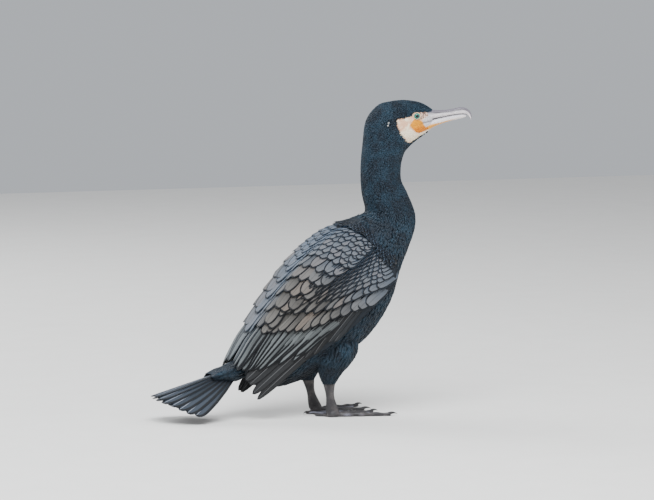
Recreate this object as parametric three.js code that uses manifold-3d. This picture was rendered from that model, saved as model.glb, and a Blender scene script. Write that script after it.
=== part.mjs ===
// A great cormorant standing at rest, life size, in millimetres: +X is the way it faces, +Y its left, +Z up.
// Each flesh part, wing, tail, foot, eye and half of the bill is a closed solid of its own.
import * as THREE from "three";
import { mergeVertices } from "three/addons/utils/BufferGeometryUtils.js";
import Module from "manifold-3d";

const wasm = await Module();
wasm.setup();

// Driving sizes
const GAP = 0.35; // between two parts that touch
const CUT = 0.3; // width of a cut that parts one length of the body from the next
const VANE = 0.6; // thickness of a feather's vane
const ROUND = 20; // sides of a body section
const HEAD_TURN = THREE.MathUtils.degToRad(-12); // the head looks a little to the bird's right
const NECK = { x: 98, low: 335, high: 440 }; // upright axis and heights between which the neck twists
const STANCE = 33; // each foot from the midline

// Sections of the body from the bill's root to the tail's root: the point on the back or crown, the point on
// the throat, breast or belly, half the width, and how square the section is.
const BODY = [
  { name: "bill_root", back: [183, 500], front: [180, 468], half: 9, square: 2.2 },
  { name: "lores", back: [170, 508.6], front: [169, 460], half: 13.5, square: 2.2 },
  { name: "brow", back: [155.5, 514], front: [157, 452], half: 17.5, square: 2.2 },
  { name: "crown", back: [134, 516.6], front: [147, 444], half: 21, square: 2.1 },
  { name: "hind_crown", back: [112, 514.5], front: [140, 437], half: 23, square: 2.1 },
  { name: "nape", back: [91, 508], front: [135, 430.5], half: 23.5, square: 2.1 },
  { name: "neck_top", back: [72, 484], front: [130.5, 417], half: 23.5, square: 2.1 },
  { name: "neck_upper", back: [66.5, 447], front: [128.5, 401], half: 24, square: 2.1 },
  { name: "neck_middle", back: [63, 405], front: [130, 383], half: 25.5, square: 2.1 },
  { name: "neck_lower", back: [64.5, 366], front: [140, 363], half: 28.5, square: 2.1 },
  { name: "neck_root", back: [71, 335], front: [153, 331], half: 34, square: 2.1 },
  { name: "mantle", back: [60, 326], front: [152, 306], half: 42, square: 2.2 },
  { name: "breast", back: [38, 311], front: [141, 278], half: 51, square: 2.3 },
  { name: "shoulders", back: [2, 284], front: [124, 239], half: 58, square: 2.4 },
  { name: "back", back: [-41, 243], front: [105, 182], half: 61, square: 2.4 },
  { name: "loins", back: [-85, 193], front: [64, 126], half: 58, square: 2.3 },
  { name: "belly", back: [-118, 152], front: [-6, 80], half: 50, square: 2.3 },
  { name: "vent", back: [-141, 120], front: [-76, 53], half: 38, square: 2.2 },
  { name: "tail_root", back: [-156, 100], front: [-128, 56], half: 23, square: 2.2 },
];
const station = (name) => BODY.findIndex((s) => s.name === name);

// The closed wing lies on an envelope of sections across the body's slope. Its chart is a, the way from the
// shoulder down the back, and g, the way round the body from the back's midline.
const SLOPE = THREE.MathUtils.degToRad(49.4);
const SHOULDER = new THREE.Vector3(42, 0, 317);
const ALONG = new THREE.Vector3(-Math.cos(SLOPE), 0, -Math.sin(SLOPE));
const OUT = new THREE.Vector3(-Math.sin(SLOPE), 0, Math.cos(SLOPE));
const WING = [
  { a: -20, bow: 2, valley: 0, half: 44, deep: 58, below: 70, edge: 112 },
  { a: 0, bow: 10, valley: 3, half: 56, deep: 60, below: 84, edge: 135 },
  { a: 36, bow: 25, valley: 7, half: 66, deep: 62, below: 92, edge: 177 },
  { a: 100, bow: 38, valley: 10, half: 71, deep: 58, below: 90, edge: 189 },
  { a: 180, bow: 37, valley: 10, half: 65, deep: 48, below: 74, edge: 172 },
  { a: 247, bow: 28, valley: 8, half: 56, deep: 38, below: 60, edge: 134 },
  { a: 290, bow: 20, valley: 6, half: 50, deep: 31, below: 48, edge: 116 },
  { a: 335, bow: 11, valley: 4, half: 43, deep: 26, below: 40, edge: 98 },
];
const WING_SQUARE = 3.1;
const RIDGE = [6, 42]; // from the midline: where the back's valley starts to rise and where it ends
const WING_CORE = { below: 2.6, shoulder: 15, rear: 3.6, inset: 5 }; // the form that carries the feathers

// The wing's feathers lie in tiers. Each tier has a line of roots and a line of tips on the chart, from its
// inner to its outer feather. rise is how far the tips stand off the core, lap how much wider a vane is than
// its place in the row, taper where its tip begins, and tilt how steeply its outer edge lifts over the next.
const SINK = -1.5; // of each root below the core's surface
const TIERS = [
  { name: "primaries", count: 4, roots: [[204, 100], [134, 167]], tips: [[324, 56], [331, 91]],
    rise: 0.9, lap: 1.5, steps: 3, taper: 0.72, tilt: 0.09 },
  { name: "secondaries", count: 10, roots: [[216, 50], [168, 116], [100, 170]], tips: [[308, 44], [284, 76], [232, 125]],
    rise: 2.6, lap: 1.6, steps: 3, taper: 0.6, tilt: 0.17 },
  { name: "greater_coverts", count: 9, roots: [[193, 54], [144, 123], [50, 180]], tips: [[242, 46], [192, 108], [96, 176]],
    rise: 3.9, lap: 1.45, steps: 3, taper: 0.5, tilt: 0.12 },
  { name: "median_coverts", count: 8, roots: [[161, 66], [106, 137], [24, 166]], tips: [[202, 58], [146, 124], [64, 168]],
    rise: 4, lap: 1.4, steps: 2, taper: 0.45, tilt: 0.1 },
  { name: "lesser_coverts_low", count: 7, roots: [[135, 74], [88, 120], [9, 148]], tips: [[170, 68], [122, 110], [44, 154]],
    rise: 3.8, lap: 1.4, steps: 2, taper: 0.4, tilt: 0.09 },
  { name: "lesser_coverts_high", count: 6, roots: [[98, 84], [53, 118], [-4, 126]], tips: [[134, 80], [88, 112], [24, 134]],
    rise: 3.4, lap: 1.4, steps: 2, taper: 0.4, tilt: 0.08 },
  { name: "tertials", count: 4, roots: [[216, 12], [210, 50]], tips: [[306, 12], [316, 38]],
    rise: 4.6, lap: 1.5, steps: 3, taper: 0.65, tilt: 0.12 },
  { name: "scapulars_rear", count: 3, roots: [[186, 14], [178, 50]], tips: [[244, 15], [232, 50]],
    rise: 6, lap: 1.25, steps: 2, taper: 0.55, tilt: 0.06 },
  { name: "scapulars_long", count: 4, roots: [[146, 12], [128, 62]], tips: [[206, 13], [180, 64]],
    rise: 5.6, lap: 1.3, steps: 2, taper: 0.5, tilt: 0.07 },
  { name: "scapulars_middle", count: 4, roots: [[108, 13], [84, 80]], tips: [[164, 13], [128, 80]],
    rise: 5, lap: 1.3, steps: 2, taper: 0.5, tilt: 0.06 },
  { name: "scapulars_front", count: 5, roots: [[64, 12], [44, 94]], tips: [[118, 12], [92, 98]],
    rise: 4, lap: 1.3, steps: 2, taper: 0.45, tilt: 0.05 },
];

// The tail is a fan that droops to each side.
const TAIL = {
  root: [-148, 89], dip: THREE.MathUtils.degToRad(16.5), droop: THREE.MathUtils.degToRad(33),
  pairs: 7, spread: THREE.MathUtils.degToRad(30), start: 22, long: 160, short: 128, half: 10.5,
};

// The eye, and the bare and white patch of the face with its outline on the head's side
const EYE = { at: [153.5, 491.2], radius: 6, open: 5, ring: 1 };
const FACE = [
  [196, 486.5], [172, 481.4], [161, 478.6], [147, 482], [123, 486], [121.5, 477], [126, 461], [133, 450],
  [143, 441], [158, 428], [200, 440],
];

// Sections of the two halves of the bill: upper edge, lower edge and half width
const BILL_UPPER = [
  { back: [172, 503], front: [172, 481.8], half: 10, square: 2.3 },
  { back: [183, 500.4], front: [184, 485.4], half: 8.6, square: 2.2 },
  { back: [198, 499.9], front: [200, 488.7], half: 7, square: 2.2 },
  { back: [214, 501.4], front: [215, 491.3], half: 5.8, square: 2.2 },
  { back: [228, 504.2], front: [228, 492.9], half: 5.2, square: 2.2 },
  { back: [238, 502.8], front: [235.8, 492.9], half: 4.6, square: 2.2 },
  { back: [244.6, 497.8], front: [239.9, 491.4], half: 3.6, square: 2.1 },
  { back: [247.6, 490.6], front: [243.4, 488], half: 2.3, square: 2 },
  { back: [247.6, 484.4], front: [246.4, 483.8], half: 0.9, square: 2 },
];
const BILL_LOWER = [
  { back: [172, 481], front: [174, 466.5], half: 9, square: 2.3 },
  { back: [186, 485.6], front: [187, 473.6], half: 7.6, square: 2.2 },
  { back: [200, 488.3], front: [202, 479], half: 6.2, square: 2.2 },
  { back: [215, 490.9], front: [216, 482.8], half: 5, square: 2.2 },
  { back: [228, 492.5], front: [228, 485.6], half: 4.1, square: 2.2 },
  { back: [235, 492.3], front: [235.6, 487.4], half: 3, square: 2.1 },
  { back: [238.4, 490.8], front: [238.8, 489.2], half: 1.3, square: 2 },
];

// Legs: sections from the belly to the shank, then the shank to the foot. side is -1 on the right.
const LEGS = [
  { name: "right", side: -1, foot: [0, 8], ankle: [-6, 56], hip: [14, 128], toes: [-12, 18, 34, 145] },
  { name: "left", side: 1, foot: [-6, 8], ankle: [-22, 56], hip: [8, 128], toes: [-24, 6, 22, 140] },
];
const SHANK = { deep: 9.4, wide: 4.4, inset: 3 };
const TOES = [
  { name: "outer", length: 96, radius: 5.2 }, { name: "middle", length: 83, radius: 4.8 },
  { name: "inner", length: 50, radius: 4.4 }, { name: "hind", length: 30, radius: 4 },
];
const CLAW = 11;
const WEB = 1.4;

const FEATHER = { color: 0x1c2a33, roughness: 0.5, metalness: 0.1 };
const MATERIALS = {
  feathers: new THREE.MeshStandardMaterial(FEATHER),
  wing: new THREE.MeshStandardMaterial({ color: 0x4b4f50, roughness: 0.5, metalness: 0.1 }),
  tail: new THREE.MeshStandardMaterial({ color: 0x2d3340, roughness: 0.5, metalness: 0.1 }),
  bill: new THREE.MeshStandardMaterial({ color: 0xb9b2b4, roughness: 0.45, metalness: 0 }),
  face: new THREE.MeshStandardMaterial({ color: 0xe8ddd2, roughness: 0.6, metalness: 0 }),
  eye: new THREE.MeshStandardMaterial({ color: 0x1f7a63, roughness: 0.1, metalness: 0 }),
  leg: new THREE.MeshStandardMaterial({ color: 0x4a444a, roughness: 0.6, metalness: 0 }),
};

const { smoothstep, lerp, clamp } = THREE.MathUtils;

// A smooth value between the stations of a table, at x on the given key
function between(table, key, position, read) {
  const x = table.map(key);
  const y = table.map(read);
  const slope = (i) => {
    const j = Math.max(i - 1, 0);
    const k = Math.min(i + 1, x.length - 1);
    return (y[k] - y[j]) / (x[k] - x[j]);
  };
  let i = x.findIndex((v) => v > position) - 1;
  if (i < 0) i = position < x[0] ? 0 : x.length - 2;
  const h = x[i + 1] - x[i];
  const s = clamp((position - x[i]) / h, 0, 1);
  const s2 = s * s;
  const s3 = s2 * s;
  return (2 * s3 - 3 * s2 + 1) * y[i] + (s3 - 2 * s2 + s) * h * slope(i) +
    (3 * s2 - 2 * s3) * y[i + 1] + (s3 - s2) * h * slope(i + 1);
}

// The head and neck twist about the neck's upright axis.
function turned(p) {
  const angle = HEAD_TURN * smoothstep(p.z, NECK.low, NECK.high);
  const x = p.x - NECK.x;
  return new THREE.Vector3(
    NECK.x + x * Math.cos(angle) - p.y * Math.sin(angle), x * Math.sin(angle) + p.y * Math.cos(angle), p.z);
}

// A point on a loft: t counts the stations of the table, angle runs from the back over the left side.
function onLoft(table, t, angle, grow = 0) {
  const at = (read) => between(table, (s, i) => i, t, read);
  const back = new THREE.Vector3(at((s) => s.back[0]), 0, at((s) => s.back[1]));
  const front = new THREE.Vector3(at((s) => s.front[0]), 0, at((s) => s.front[1]));
  const half = at((s) => s.half) + grow;
  const power = 2 / at((s) => s.square);
  const arm = back.clone().sub(front).multiplyScalar(0.5);
  arm.setLength(arm.length() + grow);
  const c = Math.cos(angle);
  const s = Math.sin(angle);
  const point = back.add(front).multiplyScalar(0.5);
  point.addScaledVector(arm, Math.sign(c) * Math.abs(c) ** power);
  point.y += half * Math.sign(s) * Math.abs(s) ** power;
  return point;
}

// A closed solid from rings of points, with a point at the middle of each end
function solidOfRings(rings) {
  const sides = rings[0].length;
  const points = rings.flat();
  const middle = (ring) => ring.reduce((sum, p) => sum.add(p), new THREE.Vector3()).divideScalar(sides);
  const first = points.push(middle(rings[0])) - 1;
  const last = points.push(middle(rings.at(-1))) - 1;
  const index = [];
  for (let i = 0; i < rings.length - 1; i++) {
    for (let j = 0; j < sides; j++) {
      const a = i * sides + j;
      const b = i * sides + (j + 1) % sides;
      index.push(a, b, a + sides, b, b + sides, a + sides);
    }
  }
  for (let j = 0; j < sides; j++) {
    const k = (j + 1) % sides;
    const end = (rings.length - 1) * sides;
    index.push(first, k, j, last, end + j, end + k);
  }
  return solidOfFaces(points, index);
}

function solidOfFaces(points, index) {
  const geometry = new THREE.BufferGeometry().setFromPoints(points);
  geometry.setIndex(index);
  return solid(geometry);
}

// A three.js geometry as a solid whose faces point outwards
function solid(geometry) {
  geometry.deleteAttribute("normal");
  geometry.deleteAttribute("uv");
  const merged = mergeVertices(geometry, 1e-4);
  const vertProperties = merged.attributes.position.array;
  const triVerts = new Uint32Array(merged.index.array);
  const make = () => new wasm.Manifold(new wasm.Mesh({ numProp: 3, vertProperties, triVerts }));
  const made = make();
  if (made.volume() > 0) return made;
  for (let i = 0; i < triVerts.length; i += 3) {
    [triVerts[i + 1], triVerts[i + 2]] = [triVerts[i + 2], triVerts[i + 1]];
  }
  return make();
}

// A loft between two stations of a table. steps is the number of lengths it is divided into.
function loft(table, from, to, steps, { grow = 0, sides = ROUND, bend = (p) => p } = {}) {
  const rings = [];
  for (let i = 0; i <= steps; i++) {
    const t = lerp(from, to, i / steps);
    const ring = [];
    for (let j = 0; j < sides; j++) ring.push(bend(onLoft(table, t, 2 * Math.PI * j / sides, grow)));
    rings.push(ring);
  }
  return solidOfRings(rings);
}

// A thin plate through a station of the body, as wide as the section there, that parts two lengths of it
function cutAt(t, bend = (p) => p) {
  const back = bend(onLoft(BODY, t, 0));
  const front = bend(onLoft(BODY, t, Math.PI));
  const left = bend(onLoft(BODY, t, Math.PI / 2));
  const right = bend(onLoft(BODY, t, -Math.PI / 2));
  const up = back.clone().sub(front);
  const across = left.clone().sub(right);
  const normal = new THREE.Vector3().crossVectors(up, across).normalize();
  const plate = new THREE.BoxGeometry(up.length() * 1.3, across.length() * 1.6, CUT);
  const frame = new THREE.Matrix4().makeBasis(
    up.normalize(), new THREE.Vector3().crossVectors(normal, up.clone().normalize()), normal);
  frame.setPosition(back.add(front).multiplyScalar(0.5));
  return solid(plate.applyMatrix4(frame));
}

// The largest closed surface of a solid
function largest(made) {
  const pieces = made.decompose();
  return pieces.reduce((best, piece) => (piece.volume() > best.volume() ? piece : best));
}

function box(low, high) {
  const geometry = new THREE.BoxGeometry(high[0] - low[0], high[1] - low[1], high[2] - low[2]);
  geometry.translate((low[0] + high[0]) / 2, (low[1] + high[1]) / 2, (low[2] + high[2]) / 2);
  return solid(geometry);
}

const bird = new THREE.Group();

function add(name, made, material) {
  const { vertProperties, triVerts, numProp, numVert } = largest(made).getMesh();
  const position = new Float32Array(numVert * 3);
  for (let i = 0; i < numVert; i++) position.set(vertProperties.subarray(i * numProp, i * numProp + 3), i * 3);
  const geometry = new THREE.BufferGeometry();
  geometry.setAttribute("position", new THREE.BufferAttribute(position, 3));
  geometry.setIndex(new THREE.BufferAttribute(triVerts, 1));
  const mesh = new THREE.Mesh(geometry, MATERIALS[material]);
  mesh.name = name;
  bird.add(mesh);
  return made;
}

// A wing's section at a, as points from the midline round the right side, with the way along them
function wingSection(a) {
  const at = (read) => between(WING, (s) => s.a, a, read);
  const [bow, valley, half, deep, below] = ["bow", "valley", "half", "deep", "below"].map((k) => at((s) => s[k]));
  const power = 2 / WING_SQUARE;
  const points = [];
  const way = [0];
  const count = 40;
  for (let i = 0; i <= count; i++) {
    const angle = Math.PI / 2 - Math.PI * i / count;
    const s = Math.sin(angle);
    const rise = (s > 0 ? deep + bow : below) * Math.sign(s) * Math.abs(s) ** power;
    const across = half * Math.max(Math.cos(angle), 0) ** power;
    const sag = s > 0 ? valley * (1 - smoothstep(across, ...RIDGE)) : 0;
    const point = SHOULDER.clone().addScaledVector(ALONG, a).addScaledVector(OUT, rise - deep - sag);
    point.y = -across;
    if (i) way.push(way.at(-1) + point.distanceTo(points.at(-1)));
    points.push(point);
  }
  return { points, way };
}

function onSection({ points, way }, g) {
  let i = way.findIndex((w) => w > g) - 1;
  if (i < 0) i = g < way[0] ? 0 : way.length - 2;
  return points[i].clone().lerp(points[i + 1], (g - way[i]) / (way[i + 1] - way[i]));
}

// A point of the right wing's chart, lift mm off the envelope
function onWing(a, g, lift) {
  const here = onSection(wingSection(a), g);
  const step = 4;
  const alongA = onSection(wingSection(a + step), g).sub(onSection(wingSection(a - step), g));
  const alongG = onSection(wingSection(a), g + step).sub(onSection(wingSection(a), Math.max(g - step, 0)));
  const normal = new THREE.Vector3().crossVectors(alongA, alongG).normalize();
  if (normal.dot(new THREE.Vector3(0, -1, 0)) + normal.dot(OUT) < 0) normal.negate();
  return here.addScaledVector(normal, lift);
}

// A thin closed plate over a grid of places. Both faces are split into triangles alike.
function plate(rows, columns, place) {
  const points = [];
  for (const face of [1, -1]) {
    for (let i = 0; i <= rows; i++) {
      for (let j = 0; j <= columns; j++) points.push(place(i / rows, 2 * j / columns - 1, face));
    }
  }
  const wide = columns + 1;
  const under = wide * (rows + 1);
  const index = [];
  const quad = (a, b, c, d) => index.push(a, b, c, a, c, d);
  for (let i = 0; i < rows; i++) {
    for (let j = 0; j < columns; j++) {
      const a = i * wide + j;
      index.push(a, a + 1, a + wide, a + 1, a + wide + 1, a + wide);
      index.push(under + a, under + a + wide, under + a + 1);
      index.push(under + a + 1, under + a + wide, under + a + wide + 1);
    }
    const left = i * wide;
    const right = left + columns;
    quad(left, left + wide, under + left + wide, under + left);
    quad(right, under + right, under + right + wide, right + wide);
  }
  for (let j = 0; j < columns; j++) {
    const end = rows * wide + j;
    quad(j + 1, j, under + j, under + j + 1);
    quad(end, end + 1, under + end + 1, under + end);
  }
  return solidOfFaces(points, index);
}

// Half width of a vane along its length, from root to tip, as a share of its widest
function vaneShape(u, taper) {
  const end = u < taper ? 1 : Math.sqrt(Math.max(1 - ((u - taper) / (1 - taper)) ** 2, 0));
  return smoothstep(u, -0.3, 0.3) * Math.max(end, 0.2);
}

// One feather of the right wing, between its root and its tip on the tier's two lines
function wingVane(tier, index) {
  const on = (line, share) => new THREE.SplineCurve(line.map((p) => new THREE.Vector2(...p))).getPoint(share);
  const share = index / (tier.count - 1);
  const root = on(tier.roots, share);
  const tip = on(tier.tips, share);
  const side = tip.clone().sub(root).normalize().rotateAround(new THREE.Vector2(), Math.PI / 2);
  const pitch = (line) => Math.abs(on(line, 1).sub(on(line, 0)).dot(side)) / (tier.count - 1);
  return plate(tier.steps, 1, (row, v, face) => {
    const u = 1 - (1 - row) ** 1.5;
    const half = lerp(pitch(tier.roots), pitch(tier.tips), u) * tier.lap / 2 * vaneShape(u, tier.taper);
    const lift = lerp(SINK, tier.rise, smoothstep(u, 0, 0.6)) + tier.tilt * v * half;
    const place = root.clone().lerp(tip, u).addScaledVector(side, v * half);
    return onWing(place.x, Math.max(place.y, 0.4), lift - WING_CORE.below + face * VANE / 2);
  });
}

// The wing's core: thick over the arm and thin behind
function wingCore() {
  const [front, rear] = [-16, 258];
  return plate(10, 8, (row, v, face) => {
    const share = (v + 1) / 2;
    const a = lerp(front, rear, row);
    const g = lerp(1.2, between(WING, (s) => s.a, a, (s) => s.edge) - WING_CORE.inset, share);
    const rim = Math.min(1, 0.25 + 5 * Math.min(row, 1 - row, share + 0.2, 1 - share));
    const thick = lerp(WING_CORE.shoulder, WING_CORE.rear, smoothstep(a, 0, 230)) * rim;
    const lower = 5 * (1 - smoothstep(a, front, 24));
    return onWing(a, g, (face > 0 ? 0 : -thick) - lower - WING_CORE.below);
  });
}

function wing(torso, tail) {
  const vanes = TIERS.flatMap((tier) => Array.from({ length: tier.count }, (_, i) => wingVane(tier, i)));
  const joined = vanes.reduce((sum, vane) => sum.add(vane), wingCore());
  const otherSide = box([-400, -0.25, -50], [300, 200, 600]);
  return joined.subtract(torso).subtract(tail).subtract(otherSide);
}

// The same solid on the other side of the midline
function mirrored(made) {
  const { vertProperties, triVerts } = made.getMesh();
  const geometry = new THREE.BufferGeometry();
  geometry.setAttribute("position", new THREE.BufferAttribute(vertProperties, 3));
  geometry.setIndex(new THREE.BufferAttribute(triVerts, 1));
  return solid(geometry.scale(1, -1, 1));
}

// The tail's fan: angle from the midline, way along a feather, and lift off the fan
function onTail(angle, way, lift) {
  const back = new THREE.Vector3(-Math.cos(TAIL.dip), 0, -Math.sin(TAIL.dip));
  const droop = TAIL.droop * Math.min(Math.abs(angle) / TAIL.spread, 1.3) ** 0.8;
  const up = new THREE.Vector3(-Math.sin(TAIL.dip), 0, Math.cos(TAIL.dip));
  const side = new THREE.Vector3(0, Math.sign(angle) * Math.cos(droop), 0).addScaledVector(up, -Math.sin(droop));
  const point = new THREE.Vector3(TAIL.root[0], 0, TAIL.root[1]);
  point.addScaledVector(back, way * Math.cos(angle)).addScaledVector(side, way * Math.abs(Math.sin(angle)));
  return point.addScaledVector(up, lift);
}

function tailVane(pair, side, grow) {
  const share = pair / (TAIL.pairs - 1);
  const middle = side * lerp(TAIL.spread * 0.07, TAIL.spread, share);
  const length = lerp(TAIL.long, TAIL.short, share ** 1.6);
  const level = -1.25 * pair;
  return plate(4, 1, (row, v, face) => {
    const u = 1 - (1 - row) ** 1.4;
    const way = lerp(TAIL.start, length, u);
    const half = TAIL.half * lerp(0.5, 1, smoothstep(u, 0, 0.7)) * vaneShape(u, 0.8) + grow;
    const lift = level + v * side * 0.07 * half + face * (VANE * 0.6 + grow);
    return onTail(middle + v * half / way, way + grow * (2 * u - 1), lift);
  });
}

// The tail's fleshy root with the rows of short feathers over and under it
function tailRoot(grow) {
  const rings = [];
  const stations = [
    { way: -2, half: 20, up: 9.5, down: 22 }, { way: 14, half: 22, up: 8, down: 22 },
    { way: 32, half: 22, up: 5.5, down: 18 }, { way: 52, half: 19, up: 2.2, down: 11 },
    { way: 66, half: 12, up: 0.6, down: 8.5 },
  ];
  for (const { way, half, up, down } of stations) {
    const ring = [];
    for (let j = 0; j < 16; j++) {
      const turn = 2 * Math.PI * j / 16;
      const c = Math.cos(turn);
      const rise = (c > 0 ? up : down) * Math.sign(c) * Math.abs(c) ** 0.9;
      const point = onTail(0, way, rise + Math.sign(c) * grow);
      point.y = (half + grow) * Math.sin(turn);
      ring.push(point);
    }
    rings.push(ring);
  }
  return solidOfRings(rings);
}

function tailSolid(grow = 0) {
  let made = tailRoot(grow);
  for (const side of [1, -1]) {
    for (let pair = 0; pair < TAIL.pairs; pair++) made = made.add(tailVane(pair, side, grow));
  }
  return made;
}

// Where the head's side surface is at a place of its side view
function headHalf(x, z) {
  let best = { off: Infinity, y: 0 };
  for (let t = 0; t < station("nape"); t += 0.02) {
    for (let angle = 0.3; angle < 2.9; angle += 0.03) {
      const p = onLoft(BODY, t, angle);
      const off = Math.hypot(p.x - x, p.z - z);
      if (off < best.off) best = { off, y: p.y };
    }
  }
  return best.y;
}

// A ball at a place of the head's side
function eyeBall(side, depth, radius) {
  const ball = new THREE.IcosahedronGeometry(radius, 2);
  const centre = turned(new THREE.Vector3(EYE.at[0], side * depth, EYE.at[1]));
  return solid(ball.translate(centre.x, centre.y, centre.z));
}

// The ring of lid skin round an eye
function eyeRing(side, depth) {
  const ring = new THREE.TorusGeometry(EYE.open + EYE.ring * 0.7, EYE.ring, 5, 16);
  ring.rotateX(Math.PI / 2);
  ring.translate(EYE.at[0], side * depth, EYE.at[1]);
  const place = ring.getAttribute("position");
  for (let i = 0; i < place.count; i++) {
    const p = turned(new THREE.Vector3().fromBufferAttribute(place, i));
    place.setXYZ(i, p.x, p.y, p.z);
  }
  return solid(ring);
}

// A flat outline in the side view, as wide as the whole head, that follows the head's turn
function sideBlock(outline, narrow = 0) {
  const shape = new THREE.Shape(outline.map(([x, z]) => new THREE.Vector2(x, z)));
  const block = new THREE.ExtrudeGeometry(shape, { depth: 80 - 2 * narrow, bevelEnabled: false, steps: 1 });
  block.translate(0, 0, narrow - 40);
  block.rotateX(Math.PI / 2);
  block.translate(-NECK.x, 0, 0);
  block.rotateZ(HEAD_TURN);
  block.translate(NECK.x, 0, 0);
  return solid(block);
}

// An outline moved outwards by a small way, for the gap round what it encloses
function widened(outline, by) {
  return outline.map(([x, z], i) => {
    const before = outline[(i + outline.length - 1) % outline.length];
    const after = outline[(i + 1) % outline.length];
    const [dx, dz] = [after[0] - before[0], after[1] - before[1]];
    const length = Math.hypot(dx, dz);
    const turn = Math.sign(THREE.ShapeUtils.area(outline.map(([a, b]) => new THREE.Vector2(a, b))));
    return [x + turn * by * dz / length, z - turn * by * dx / length];
  });
}

function headParts() {
  const upper = loft(BILL_UPPER, 0, BILL_UPPER.length - 1, 13, { sides: 12, bend: turned });
  const upperClear = loft(BILL_UPPER, 0, BILL_UPPER.length - 1, 13, { sides: 12, bend: turned, grow: GAP });
  const lower = loft(BILL_LOWER, 0, BILL_LOWER.length - 1, 10, { sides: 12, bend: turned });
  const lowerClear = loft(BILL_LOWER, 0, BILL_LOWER.length - 1, 10, { sides: 12, bend: turned, grow: GAP });
  const cut = cutAt(station("neck_top"), turned);
  let skull = loft(BODY, 0, station("neck_top"), 16, { bend: turned }).subtract(cut);
  const depth = headHalf(...EYE.at) - 3.1;
  for (const side of [1, -1]) {
    skull = skull.add(eyeRing(side, depth + 3)).subtract(eyeBall(side, depth, EYE.radius + GAP));
  }
  skull = skull.subtract(upperClear).subtract(lowerClear);
  add("head", skull.subtract(sideBlock(widened(FACE, CUT))), "feathers");
  add("face_patch", skull.intersect(sideBlock(FACE)), "face");
  add("bill_upper", upper, "bill");
  add("bill_lower", lower.subtract(upperClear), "bill");
  add("eye_right", eyeBall(-1, depth, EYE.radius), "eye");
  add("eye_left", eyeBall(1, depth, EYE.radius), "eye");
}

function neckParts() {
  const cuts = ["neck_top", "neck_middle", "neck_root"].map((name) => cutAt(station(name), turned));
  const upper = loft(BODY, station("neck_top"), station("neck_middle"), 5, { bend: turned });
  const lower = loft(BODY, station("neck_middle"), station("neck_root"), 5, { bend: turned });
  add("neck_upper", upper.subtract(cuts[0]).subtract(cuts[1]), "feathers");
  add("neck_lower", lower.subtract(cuts[1]).subtract(cuts[2]), "feathers");
}

function torsoSolid(grow = 0) {
  const made = loft(BODY, station("neck_root"), BODY.length - 1, 16, { grow });
  return grow ? made : made.subtract(cutAt(station("neck_root"), turned));
}

// The feathered thigh, wide at the belly and narrow at the shank
function thigh({ side, hip, ankle }) {
  const stations = [
    { z: hip[1] + 14, x: hip[0] + 4, deep: 20, wide: 12, out: STANCE - 3 },
    { z: 116, x: lerp(hip[0], ankle[0], 0.1), deep: 31, wide: 21, out: STANCE - 1 },
    { z: 100, x: lerp(hip[0], ankle[0], 0.4), deep: 32, wide: 23, out: STANCE },
    { z: 86, x: lerp(hip[0], ankle[0], 0.65), deep: 27, wide: 19, out: STANCE - 1 },
    { z: 71, x: lerp(hip[0], ankle[0], 0.9), deep: 18.5, wide: 13, out: STANCE - 2 },
    { z: ankle[1] + 2, x: ankle[0], deep: 11, wide: 7, out: STANCE - SHANK.inset },
  ];
  return solidOfRings(stations.map(({ z, x, deep, wide, out }) => {
    const ring = [];
    for (let j = 0; j < 16; j++) {
      const turn = 2 * Math.PI * j / 16;
      ring.push(new THREE.Vector3(x + deep * Math.cos(turn), side * out + wide * Math.sin(turn), z));
    }
    return ring;
  }));
}

// The bare shank: deep from front to back, thin from side to side, and thicker at both ends
function shank({ side, foot, ankle }) {
  const rings = [];
  const steps = 6;
  for (let i = 0; i <= steps; i++) {
    const u = i / steps;
    const swell = 1 + 0.22 * Math.cos(2 * Math.PI * u);
    const z = lerp(ankle[1] + 1.6, foot[1] + 2, u);
    const x = lerp(ankle[0], foot[0], u) - 1.5 * Math.sin(Math.PI * u);
    const out = lerp(STANCE - SHANK.inset, STANCE, u);
    const ring = [];
    for (let j = 0; j < 12; j++) {
      const turn = 2 * Math.PI * j / 12;
      ring.push(new THREE.Vector3(
        x + SHANK.deep * swell * Math.cos(turn), side * out + SHANK.wide * swell * Math.sin(turn), z));
    }
    rings.push(ring);
  }
  return solidOfRings(rings);
}

// A toe: a tapered, jointed tube along the floor, flat underneath, with its claw
function toe({ length, radius }, centre, angle) {
  const rings = [];
  const steps = 5;
  const way = new THREE.Vector3(Math.cos(angle), Math.sin(angle), 0);
  const across = new THREE.Vector3(-Math.sin(angle), Math.cos(angle), 0);
  for (let i = 0; i <= steps; i++) {
    const u = i / steps;
    const joint = 1 + 0.1 * Math.cos(6 * Math.PI * u);
    const r = radius * lerp(1, 0.62, u) * joint;
    const ring = [];
    for (let j = 0; j < 6; j++) {
      const turn = 2 * Math.PI * (j + 0.5) / 6;
      const point = centre.clone().addScaledVector(way, length * u).addScaledVector(across, r * Math.cos(turn));
      point.z = Math.max(r * 0.72 + r * Math.sin(turn), -1);
      ring.push(point);
    }
    rings.push(ring);
  }
  const claw = [];
  const clawSteps = 3;
  for (let i = 0; i <= clawSteps; i++) {
    const u = i / clawSteps;
    const r = radius * lerp(0.5, 0.08, u);
    const ring = [];
    for (let j = 0; j < 5; j++) {
      const turn = 2 * Math.PI * (j + 0.5) / 5;
      const point = centre.clone().addScaledVector(way, length - 3 + (CLAW + 3) * u);
      point.addScaledVector(across, r * Math.cos(turn));
      point.z = radius * (0.55 + 0.55 * Math.sin(Math.PI * u) - 0.3 * u) + r * Math.sin(turn);
      ring.push(point);
    }
    claw.push(ring);
  }
  return solidOfRings(rings).add(solidOfRings(claw));
}

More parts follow.
